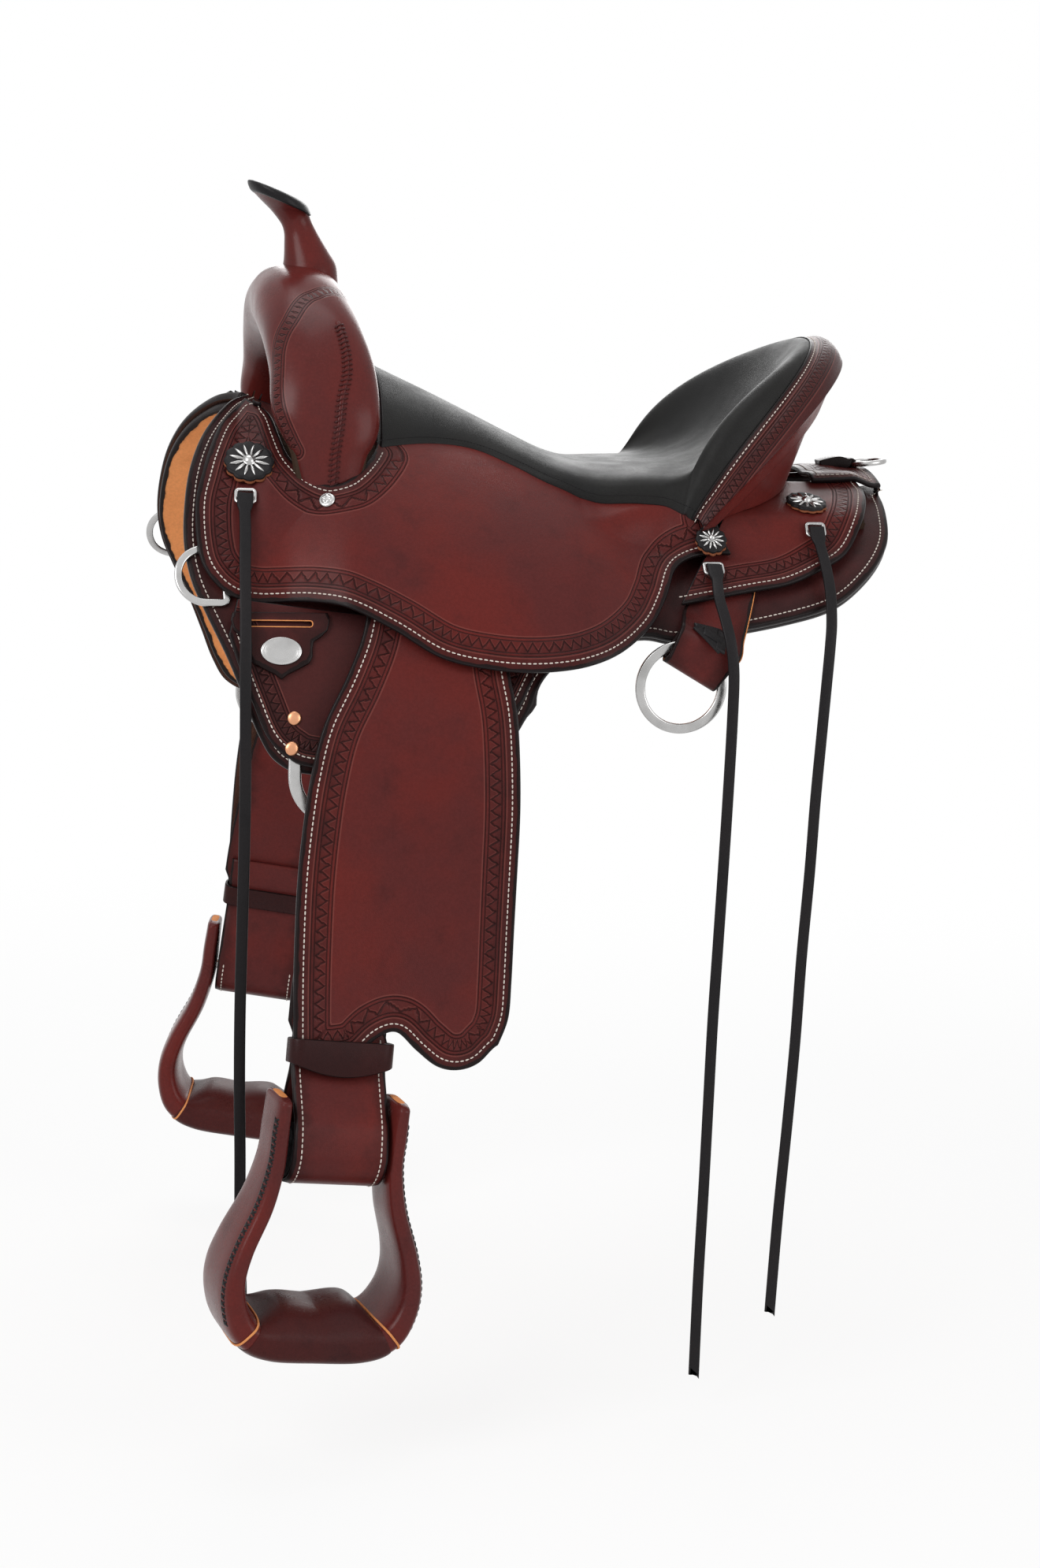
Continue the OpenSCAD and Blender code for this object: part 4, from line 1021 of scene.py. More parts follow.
@dataclass
class Studio:
    """Camera, floor and lamps."""

    target: tuple[float, float, float] = (-0.027, 0.0, -0.214)
    distance: float = 2.49
    azimuth: float = -11.0
    elevation: float = 10.0
    roll: float = 2.0
    focal_px: float = 3640.0
    sensor: float = 36.0
    image: tuple[int, int] = (1320, 1990)
    floor_z: float = -0.70
    floor_glow: float = 0.84
    floor_half: float = 7.0
    ambient: float = 0.34
    lamps: Sequence = (
        ("key", (-2.0, -1.7, 1.35), 1.5, 44),
        ("fill", (1.9, -1.9, 0.5), 1.6, 22),
        ("top", (-0.3, 0.2, 2.3), 1.4, 15),
        ("rear", (0.6, 2.3, 0.9), 1.6, 22),
    )

    def camera(self) -> None:
        """Sets the camera at the photograph's viewpoint."""
        a, e, r = (math.radians(v) for v in (self.azimuth, self.elevation, self.roll))
        back = Vector((math.sin(a) * math.cos(e), -math.cos(a) * math.cos(e), math.sin(e)))
        right = Vector((math.cos(a), math.sin(a), 0))
        up = back.cross(right)
        rolled = (math.cos(r) * right + math.sin(r) * up, math.cos(r) * up - math.sin(r) * right, back)
        data = bpy.data.cameras.new("camera")
        data.sensor_fit = "VERTICAL"
        data.sensor_width = data.sensor_height = self.sensor
        data.lens = self.focal_px / self.image[1] * self.sensor
        made = bpy.data.objects.new("camera", data)
        bpy.context.scene.collection.objects.link(made)
        turn = Matrix(rolled).transposed().to_4x4()
        made.matrix_world = Matrix.Translation(Vector(self.target) + self.distance * back) @ turn
        bpy.context.scene.camera = made

    def lamp(self, name: str, at: Sequence, size: float, power: float) -> None:
        """One soft box that looks at the saddle."""
        data = bpy.data.lights.new(name, "AREA")
        data.size, data.energy = size, power
        made = bpy.data.objects.new(name, data)
        bpy.context.scene.collection.objects.link(made)
        made.location = at
        made.rotation_euler = (Vector(self.target) - Vector(at)).to_track_quat("-Z", "Y").to_euler()

    def seen_ray(self, graph: Graph) -> bpy.types.NodeSocket:
        """1 for rays from the eye, straight or by way of metal and glass."""
        path = graph.node("ShaderNodeLightPath").outputs
        seen = graph.most(path["Is Camera Ray"], path["Is Glossy Ray"])
        return graph.most(seen, path["Is Transmission Ray"])

    def floor(self) -> None:
        """A pale floor that keeps the shadow."""
        shape = Shape()
        n = 9
        even = np.linspace(-self.floor_half, self.floor_half, n) / MM
        xs, ys = np.meshgrid(even, even, indexing="ij")
        shape.add(np.stack([xs, ys, np.full_like(xs, self.floor_z / MM)], axis=-1), grid_faces(n, n))
        made = bpy.data.materials.new("pale_floor")
        made.use_nodes = True
        graph = Graph(made.node_tree)
        nodes = made.node_tree.nodes
        shader, end = nodes["Principled BSDF"], nodes["Material Output"]
        shader.inputs["Base Color"].default_value = (0.9, 0.9, 0.9, 1)
        shader.inputs["Roughness"].default_value = 0.9
        shader.inputs["Specular IOR Level"].default_value = 0.1
        distance = graph.node("ShaderNodeVectorMath", operation="LENGTH")
        graph.feed(distance.inputs[0], graph.node("ShaderNodeTexCoord").outputs["Object"])
        share = graph.step(distance.outputs["Value"], 0.9, 2.2, self.floor_glow, 1)
        glow = graph.node("ShaderNodeEmission")
        blend = graph.node("ShaderNodeMixShader")
        graph.feed(blend.inputs[0], graph.times(self.seen_ray(graph), share))
        graph.feed(blend.inputs[1], shader.outputs[0])
        graph.feed(blend.inputs[2], glow.outputs[0])
        graph.feed(end.inputs["Surface"], blend.outputs[0])
        shape.make("floor", [made])

    def world(self) -> None:
        """A white background with a soft even light from all round."""
        made = bpy.data.worlds.new("studio")
        bpy.context.scene.world = made
        made.use_nodes = True
        graph = Graph(made.node_tree)
        nodes = made.node_tree.nodes
        soft, end = nodes["Background"], nodes["World Output"]
        soft.inputs["Color"].default_value = (1, 1, 1, 1)
        soft.inputs["Strength"].default_value = self.ambient
        white = graph.node("ShaderNodeBackground")
        white.inputs["Color"].default_value = (1, 1, 1, 1)
        blend = graph.node("ShaderNodeMixShader")
        graph.feed(blend.inputs[0], self.seen_ray(graph))
        graph.feed(blend.inputs[1], soft.outputs[0])
        graph.feed(blend.inputs[2], white.outputs[0])
        graph.feed(end.inputs["Surface"], blend.outputs[0])

    def build(self) -> None:
        """Camera, world, floor and lamps."""
        bpy.context.scene.view_settings.view_transform = "Standard"
        self.camera()
        self.world()
        self.floor()
        for name, at, size, power in self.lamps:
            self.lamp(name, at, size, power)
        log.info("studio is set")


@dataclass
class BackLine:
    """The flank that the leathers lie on, and the layers counted out from the skirt's face."""

    withers: float = 141
    dip: float = 41
    loin: float = 59
    half_w: float = 234
    gap: float = 0.3
    dee_t: float = 3.5
    rear_strap_t: float = 3.5
    rear_t: float = 4
    jockey_t: float = 4
    bar_t: float = 22
    bar_tip_t: float = 8
    bar_ends: tuple[float, float] = (-262, 236)
    flap_in: float = 29.5
    dip_x: float = 80
    front_rise: tuple[float, float] = (410, 1.7)
    rear_rise: tuple[float, float] = (214, 1.6)
    belly: float = 80
    belly_share: float = 1.94
    bar_run: float = 60
    bar_high: tuple[float, float] = (36, 28)
    bar_low: tuple[float, float] = (20, 14)

    def spine(self, x: Array | float) -> Array:
        """Height of the skirt line on the centre plane."""
        x = np.asarray(x, float)
        (front_run, front_power), (rear_run, rear_power) = self.front_rise, self.rear_rise
        front = np.maximum(0, (self.dip_x - x) / front_run) ** front_power
        rear = np.maximum(0, (x - self.dip_x) / rear_run) ** rear_power
        return self.dip + (self.withers - self.dip) * front + (self.loin - self.dip) * rear

    def height(self, x: Array | float) -> Array:
        """Height of the ellipse that a cross section follows."""
        return self.belly_share * (self.spine(x) + self.belly)

    def flank(self, x: Array | float, angle: Array | float, off: Array | float) -> Array:
        """Points on the near flank at angles from the spine, moved out by off."""
        x, angle, off = np.broadcast_arrays(*(np.asarray(v, float) for v in (x, angle, off)))
        a, h = np.radians(angle), self.height(x)
        y, z = -(self.half_w + off) * np.sin(a), self.spine(x) - h + (h + off) * np.cos(a)
        return np.stack([x, y, z], axis=-1)

    def angle(self, x: Array | float, z: Array | float, off: Array | float) -> Array:
        """The angle at which the flank has a height."""
        h = self.height(x)
        return np.degrees(np.arccos(np.clip((z - self.spine(x) + h) / (h + off), -1, 1)))

    def at(self, x: Array | float, z: Array | float, off: Array | float) -> Array:
        """Points on the flank at a height."""
        return self.flank(x, self.angle(x, z, off), off)

    def on(self, x: float, z: float, off: float) -> Seat3:
        """A place on the flank to seat a flat piece."""
        along = self.at(x + 5, z, off) - self.at(x - 5, z, off)
        return seat_on(self.at(x, z, off), along, self.at(x, z + 5, off) - self.at(x, z - 5, off))

    def bar_thick(self, x: Array | float) -> Array:
        """Thickness of the tree bar."""
        front, rear = self.bar_ends
        full = ramp(front, front + self.bar_run, x) * (1 - ramp(self.bar_run, rear, x))
        return self.bar_tip_t + (self.bar_t - self.bar_tip_t) * full

    def over_bar(self, x: Array | float, angle: Array | float) -> Array:
        """How far the bar lifts what lies over it."""
        front, rear = self.bar_ends
        high = mix(*self.bar_high, ramp(-60, 80, x))
        low = mix(*self.bar_low, ramp(60, 160, x))
        ends = ramp(front - 26, front - 2, x) * (1 - ramp(rear + 2, rear + 26, x))
        below = ramp(0, 1, (angle - high - 1) / 9)
        above = ramp(0, 1, (angle - low + 9) / 8)
        return (self.bar_thick(x) + self.gap) * ends * (1 - below) * above

    def rigging_in(self) -> float:
        """Inner face of the rigging plate."""
        return 5 * self.gap + self.dee_t

    def rear_in(self, angle: Array | float) -> Array:
        """Inner face of the rear jockey."""
        return 2 * self.gap + (self.rear_strap_t + 8 * self.gap) * ramp(14, 30, angle)

    def rear_out(self, angle: Array | float) -> Array:
        """Outer face of the rear jockey."""
        return self.rear_in(angle) + self.rear_t

    def jockey_in(self, x: Array | float, angle: Array | float) -> Array:
        """Inner face of the seat jockey."""
        lobe = 4 * self.gap + self.dee_t
        tip = self.rear_out(90) + 6 * self.gap
        rise = (self.flap_in - lobe) * ramp(-262, -200, x) * (1 - ramp(-30, 50, x))
        base = lobe + rise + (tip - lobe) * ramp(-30, 60, x)
        back = ramp(0, 60, x)
        return np.maximum(base, base * back + lobe * (1 - back) + self.over_bar(x, angle))

    def jockey_out(self, x: Array | float, angle: Array | float) -> Array:
        """Outer face of the seat jockey."""
        return self.jockey_in(x, angle) + self.jockey_t

    def patch(self, low: Sequence, high: Sequence, n: int, m: int, off: float) -> tuple[Array, Array]:
        """A grid between two edges of a leather.

        Args:
            low: the lower edge, as rows of x and height.
            high: the upper edge, as rows of x and angle.
            n: points along the edges.
            m: points from edge to edge.
            off: how far out from the flank the lower edge lies.

        Returns:
            The grid's x and its angles.
        """
        u = np.linspace(0, 1, n)
        lower, upper = curve(low, u), curve(high, u)
        a = self.angle(lower[:, 0], lower[:, 1], off)
        t = np.linspace(0, 1, m)[None]
        return mix(lower[:, :1], upper[:, :1], t), mix(a[:, None], upper[:, 1:], t)


# The edge of the seat on the jockey, as rows of x and angle
SEAT_EDGE = (
    (-172, 26.5), (-126, 21), (-92, 19.5), (-62, 22.7), (-33, 27), (5, 30), (35, 30.6), (57, 31),
    (66, 31.4), (72, 31.8), (76, 32.2), (81, 32.6),
)


@dataclass
class SideLeathers:
    """Skirts, linings, rigging plates, seat jockeys and rear jockeys."""

    back: BackLine
    finish: Finishes
    skirt_low: Sequence = (
        (-272, 116), (-290, 111), (-311, 91), (-324, 65), (-330, 35), (-331, 6), (-326, -20), (-316, -43),
        (-300, -76), (-288, -105), (-276, -135), (-262, -156), (-236, -165), (-160, -168), (-100, -158),
        (-75, -133), (-52, -91), (-20, -68), (31, -58), (60, -61), (100, -55), (153, -45), (195, -33),
        (227, -12), (250, 12), (260, 35), (264, 50),
    )
    skirt_high: Sequence = ((-262, 7), (-100, 8), (100, 8), (268, 7))
    skirt_t: float = 6
    lining_t: float = 7
    lining_gap: float = 1.7
    lining_inset: float = 0.012
    rigging_low: Sequence = (
        (-299, -62), (-291, -86), (-281, -112), (-270, -137), (-256, -151), (-234, -159), (-160, -162),
        (-106, -152), (-84, -130), (-62, -92),
    )
    rigging_high: Sequence = ((-292, 54), (-180, 55), (-68, 56))
    rigging_t: float = 3.5
    jockey_low: Sequence = (
        (-277.5, 109), (-286.5, 104), (-299.4, 92.7), (-309.6, 74), (-316, 57), (-322, 36), (-322, 7),
        (-316, -14), (-299, -31), (-275, -37), (-234, -35), (-207, -38), (-174, -53), (-138, -73),
        (-101, -81), (-63, -83), (-26, -79), (7, -69), (34, -51), (49, -31), (60, -11), (74, -2), (94, 2),
        (110, 2),
    )
    jockey_cut: Sequence = (
        (-270.5, 19.5), (-262.6, 20.6), (-258.3, 22.8), (-255, 26.4), (-249.6, 30.6), (-241, 33.4),
        (-231, 35.6), (-218.8, 36.8), (-205, 36.2), (-192, 33.3), (-182, 29.8), (-177, 27.4),
    )
    seat_under: float = 2
    under_x: Sequence = (-168, -130, -95, -60, -25, 10, 40, 62)
    jockey_tail: Sequence = ((82, 31.4), (98, 31.8))
    rear_low: Sequence = (
        (65, -33), (88, -29), (122, -23), (156, -17), (185, -6), (209, 6), (227, 24), (239, 41),
        (244, 50),
    )
    rear_high: Sequence = ((88, 39), (112, 30), (150, 18), (190, 10), (244, 7))
    strip_x: tuple[float, float] = (204, 264)
    strip_angle: float = 14
    strip_crown: tuple[float, float] = (8.5, 3)
    thread: Thread = field(default_factory=Thread)

    def sewn(self, name: str, sheet: Sheet, mats: Sequence, slot: Slot, node: str, side: Side) -> None:
        """Makes a sheet and its stitching and lets both ride on the saddle.

        Args:
            name: the name of the piece, without its side.
            sheet: the leather, with its worked edge.
            mats: the materials of its face, edge and flesh side.
            slot: the record's slot for it.
            node: the node that it replaces.
            side: the side that it lies on.
        """
        place(sheet.shape(), name, mats, "saddle", slot, node, side=side)
        row = sheet.stitches(self.thread)
        place(row, f"{name}_stitches", [self.finish.thread], "saddle", slot, side=side)

    def skirt(self, side: Side) -> None:
        """The skirt and the lining under it."""
        n, m = 235, 40
        x, a = self.back.patch(self.skirt_low, self.skirt_high, n, m, 0)
        border = [i * m for i in range(n)]
        mats = self.finish.sheet(self.finish.dark)
        sheet = Sheet(self.back.flank(x, a, 0), self.skirt_t, 1.2, border)
        self.sewn("skirt_leather", sheet, mats, Slot.DARK, f"skirt_{side.tag}", side)
        under = self.back.flank(x, a, -self.skirt_t - self.lining_gap)
        even = np.linspace(0, 1, m)
        t = even + self.lining_inset * (1 - even)
        rows = np.stack([[np.interp(t, even, r[:, k]) for r in under] for k in range(3)], axis=-1)
        lining = Sheet(rows, self.lining_t, 1.4, border, worked_inside=True)
        mats = [self.finish.flesh, self.finish.rim, self.finish.raw]
        node = f"lining_{side.tag}"
        place(lining.shape(), "lining_leather", mats, "saddle", Slot.LINING, node, side=side)

    def rigging(self, side: Side) -> None:
        """The rigging plate on the front drop of the skirt."""
        n, m = 110, 30
        off = self.back.rigging_in()
        x, a = self.back.patch(self.rigging_low, self.rigging_high, n, m, off)
        border = [i * m for i in range(n)]
        sheet = Sheet(self.back.flank(x, a, off + self.rigging_t), self.rigging_t, 1.0, border)
        mats = self.finish.sheet(self.finish.dark_tooled)
        self.sewn("rigging_leather", sheet, mats, Slot.DARK, f"rigging_plate_{side.tag}", side)

    def jockey(self, side: Side) -> None:
        """The large side leather under the seat."""
        n, m = 265, 44
        seat_x, seat_angle = np.array(SEAT_EDGE).T
        under = [(x, float(np.interp(x, seat_x, seat_angle)) - self.seat_under) for x in self.under_x]
        high = [*self.jockey_cut, *under, *self.jockey_tail]
        u = np.linspace(0, 1, n)
        low, top = curve(self.jockey_low, u), curve(high, u)
        foot = self.back.angle(low[:, 0], low[:, 1], self.back.jockey_in(low[:, 0], 60))
        t = np.linspace(0, 1, m)[None]
        x, a = mix(low[:, :1], top[:, :1], t), mix(foot[:, None], top[:, 1:], t)
        grid = self.back.flank(x, a, self.back.jockey_out(x, a))
        cut = int((len(self.jockey_cut) - 0.6) * 12)
        border = [i * m + m - 1 for i in range(cut, 0, -1)] + [j for j in range(m - 1, 0, -1)]
        border += [i * m for i in range(n)] + [(n - 1) * m + j for j in range(1, m)]
        mats = self.finish.sheet(self.finish.tooled)
        sheet = Sheet(grid, self.back.jockey_t, 1.1, border)
        self.sewn("jockey_leather", sheet, mats, Slot.OXBLOOD, f"seat_jockey_{side.tag}", side)

    def rear(self, side: Side) -> None:
        """The leather behind the cantle."""
        n, m = 130, 50
        x, a = self.back.patch(self.rear_low, self.rear_high, n, m, float(self.back.rear_out(90)))
        grid = self.back.flank(x, a, self.back.rear_out(a) + self.back.over_bar(x, a))
        border = [i * m for i in range(n)] + [(n - 1) * m + j for j in range(1, m)]
        mats = self.finish.sheet(self.finish.tooled)
        sheet = Sheet(grid, self.back.rear_t, 1.1, border)
        self.sewn("rear_leather", sheet, mats, Slot.OXBLOOD, f"rear_jockey_{side.tag}", side)

    def strip(self) -> None:
        """The strip that joins the two rear jockeys over the loin."""
        n, m = 50, 60
        off = float(self.back.rear_out(0)) + 3 * self.back.gap + self.back.rear_t
        x = np.linspace(*self.strip_x, n)[:, None]
        a = np.linspace(self.strip_angle, -self.strip_angle, m)[None]
        crown = mix(*self.strip_crown, ramp(222, 256, x)) * (1 - (a / self.strip_angle) ** 2)
        grid = self.back.flank(x, a, off + self.back.over_bar(x, np.abs(a)) + crown)
        loop = rim_loop(n, m)
        sheet = Sheet(grid, self.back.rear_t, 1.0, loop + loop[:1])
        mats = self.finish.sheet(self.finish.tooled)
        self.sewn("strip_leather", sheet, mats, Slot.OXBLOOD, "back_strip", Side.LEFT)

    def build(self) -> None:
        """All the side leathers."""
        for side in Side:
            self.skirt(side)
            self.rigging(side)
            self.jockey(side)
            self.rear(side)
        self.strip()


@dataclass
class Fork:
    """The leather over the fork, the horn's wrap and its cap.

    A place on the fork is a share of the way from its middle to a foot, and an angle from
    its outward side to the rear.
    """

    back: BackLine
    finish: Finishes
    x: float = -217
    rows: Sequence = (
        (0, 95, -232, 37, 30), (46, 87, -231, 38, 30), (87, 67, -226, 40, 28), (114, 41, -221, 42, 25),
        (133, 13, -220, 43, 20), (141, -10, -217, 37, 16), (143, -34, -216.5, 22, 13),
    )
    power: float = 0.85
    steps: int = 12
    welt_line: Sequence = (
        (0.38, 18), (0.46, 19), (0.567, 18), (0.656, 12), (0.744, 8), (0.856, 4), (0.985, 1),
    )
    border_line: Sequence = (
        (0.2, 66), (0.225, 42), (0.245, 18), (0.278, 0), (0.311, -12), (0.367, -28), (0.42, -46),
        (0.48, -58), (0.56, -63), (0.66, -65), (0.78, -65), (0.9, -63),
    )
    horn_rings: Sequence = (
        (-221, 196, 25.5, 25.5, 2), (-220, 212, 23.8, 23.8, 6), (-220.5, 222, 22.3, 21.5, 8),
        (-223, 231, 18.8, 18, 11), (-226.5, 242, 15.2, 14.6, 13), (-229.5, 252, 12.6, 12.4, 14),
        (-232.5, 259, 12.6, 12.6, 9), (-237, 265, 16, 16, -6), (-242, 269.5, 21.5, 21.5, -17),
        (-245, 272.5, 25, 25, -21),
    )
    cap_rings: Sequence = (
        (-244.6, 271.9, 25.4, 25.4), (-245.0, 273, 26.9, 26.9), (-246.2, 276, 27.3, 27.3),
        (-247.3, 279, 26.9, 26.9), (-248.1, 281, 25.4, 25.4), (-248.6, 282.3, 22, 22),
        (-248.9, 283.1, 14, 14), (-249, 283.3, 2, 2),
    )
    cap_lean: float = -21
    welt_size: tuple[float, float] = (4.4, 4.2)
    welt_sink: float = 0.9
    lace_pitch: float = 4.2
    lace_slant: float = 0.45
    lace_half: float = 4.6

    def section(self, u: float, way: int, angles: Array) -> tuple[Array, Array, Array]:
        """A section across the fork at one share of the way, with nothing under its feet.

        Args:
            u: the share of the way from the middle to a foot.
            way: -1 on the near side, 1 on the far one.
            angles: places round the section.

        Returns:
            The points' x, y and z.
        """
        r, ahead, behind = (curve(self.rows, np.clip(u + d, 0, 1)) for d in (0, 0.02, -0.02))
        turn = math.atan2(ahead[1] - behind[1], ahead[0] - behind[0])
        d = r[4] * squarish(np.cos(angles), self.power)
        x = r[2] + r[3] * squarish(np.sin(angles), self.power)
        y = way * (r[0] - d * math.sin(turn))
        return x, y, self.back.spine(self.x) + r[1] + d * math.cos(turn)

    def ring(self, u: float, angles: Array) -> Array:
        """Points of the cover's outer face at one share of the way, near side for a share below 0."""
        way, u = (-1 if u < 0 else 1), abs(u)
        last = 1 - 1 / self.steps
        if u > last:
            return mix(self.ring(way * last, angles), self.foot(way, angles), (u - last) / (1 - last))
        return np.stack(self.section(u, way, angles), axis=1)

    def foot(self, way: int, angles: Array) -> Array:
        """The last ring, on the bar."""
        x, y, _ = self.section(1.0, way, angles)
        off = self.back.bar_thick(x) + 3 * self.back.gap
        angle = np.degrees(np.arcsin(np.minimum(0.9, np.abs(y) / (self.back.half_w + off))))
        return np.stack([x, y, self.back.flank(x, angle, off)[:, 2]], axis=1)

    def traced(self, line: Sequence, way: int, count: int = 120) -> tuple[Array, Array]:
        """Points along a line of places on one side of the fork, and the normals there."""
        points, normals = [], []
        for u, a in curve(line, np.linspace(0, 1, count)):
            a = math.radians(a)
            here, rear = self.ring(way * u, np.array([a, a + 0.06]))
            down = self.ring(way * min(1, u + 0.01), np.array([a]))[0]
            points.append(here)
            normals.append(unit(np.cross(rear - here, down - here)) * way)
        return np.array(points), np.array(normals)

    def cover(self) -> None:
        """The swell cover with a stamped line and a laced welt on each side."""
        n, sides = 181, 96
        around = np.linspace(0, 2 * math.pi, sides, endpoint=False)
        rings = np.stack([self.ring(u, around) for u in np.linspace(-1, 1, n)])
        edge, along = np.full(n * sides, FAR), np.zeros(n * sides)
        for way in (-1, 1):
            far, run = nearest_on(self.traced(self.border_line, way)[0], rings.reshape(-1, 3))
            edge, along = np.where(far < edge, far, edge), np.where(far < edge, run, along)
        shape = Shape()
        shape.add(rings, [f[::-1] for f in grid_faces(n, sides, wrap=True)], 0, edge, along)
        place(shape, "fork_leather", [self.finish.fork], "saddle", Slot.OXBLOOD, "fork_cover")
        self.welts()

    def welts(self) -> None:
        """The laced seam down the outward face of each swell."""
        bead, lace = Shape(), Shape()
        for way in (-1, 1):
            path, up = self.traced(self.welt_line, way)
            t = tangents(path)
            up = square_to(up, t)
            side = np.cross(t, up)
            bead.join(sweep(path - up * self.welt_sink, side, up, rounded(*self.welt_size, 2.0, 4)))
            spots = resample(path, self.lace_pitch)[0][1:-1]
            for p in spots:
                i = int(np.argmin(np.linalg.norm(path - p, axis=1)))
                slant = unit(side[i] + self.lace_slant * t[i])
                a = np.linspace(-1, 1, 7)[:, None]
                arc = p + slant * a * self.lace_half + up[i] * (1.5 * np.cos(a * 1.4) + 0.1)
                rise = unit(np.cross(tangents(arc), t[i]))
                lace.join(sweep(arc, t[i], rise, rounded(1.4, 0.7, 0.3, 2)))
        place(bead, "fork_welts", [self.finish.glossy], "saddle", Slot.OXBLOOD)
        place(lace, "fork_lacing", [self.finish.hobble], "saddle", Slot.DARK)

    @staticmethod
    def turned(rings: Array, tilt: Array, steps: int) -> Array:
        """Rings of x, z, half length and half width, each leaning by an angle."""
        a = np.linspace(0, 2 * math.pi, steps, endpoint=False)[None]
        x, z, long, wide = (rings[:, k : k + 1] for k in range(4))
        lean = np.radians(tilt)[:, None]
        out = long * np.cos(a)
        return np.stack([x + out * np.cos(lean), wide * np.sin(a), z + out * np.sin(lean)], axis=-1)

    def horn(self) -> None:
        """The wrap round the neck and the cap on it."""
        steps = 64
        fine = curve(self.horn_rings, np.linspace(0, 1, 60))
        neck = self.turned(fine[:, :4], fine[:, 4], steps)
        shape = Shape()
        shape.add(neck, [f[::-1] for f in grid_faces(len(neck), steps, wrap=True)])
        place(shape, "horn_leather", [self.finish.glossy], "saddle", Slot.OXBLOOD, "horn_wrap")
        fine = curve(self.cap_rings, np.linspace(0, 1, 30))
        top = self.turned(fine, np.full(len(fine), self.cap_lean), steps)
        cap = Shape()
        cap.add(top, [f[::-1] for f in grid_faces(len(top), steps, wrap=True)])
        last = (len(top) - 1) * steps
        cap.stitch_faces([[last + k for k in range(steps)], list(range(steps - 1, -1, -1))], 0)
        place(cap, "horn_top", [self.finish.rim], "saddle", Slot.BLACK, "horn_cap")

    def build(self) -> None:
        """Cover, welts and horn."""
        self.cover()
        self.horn()


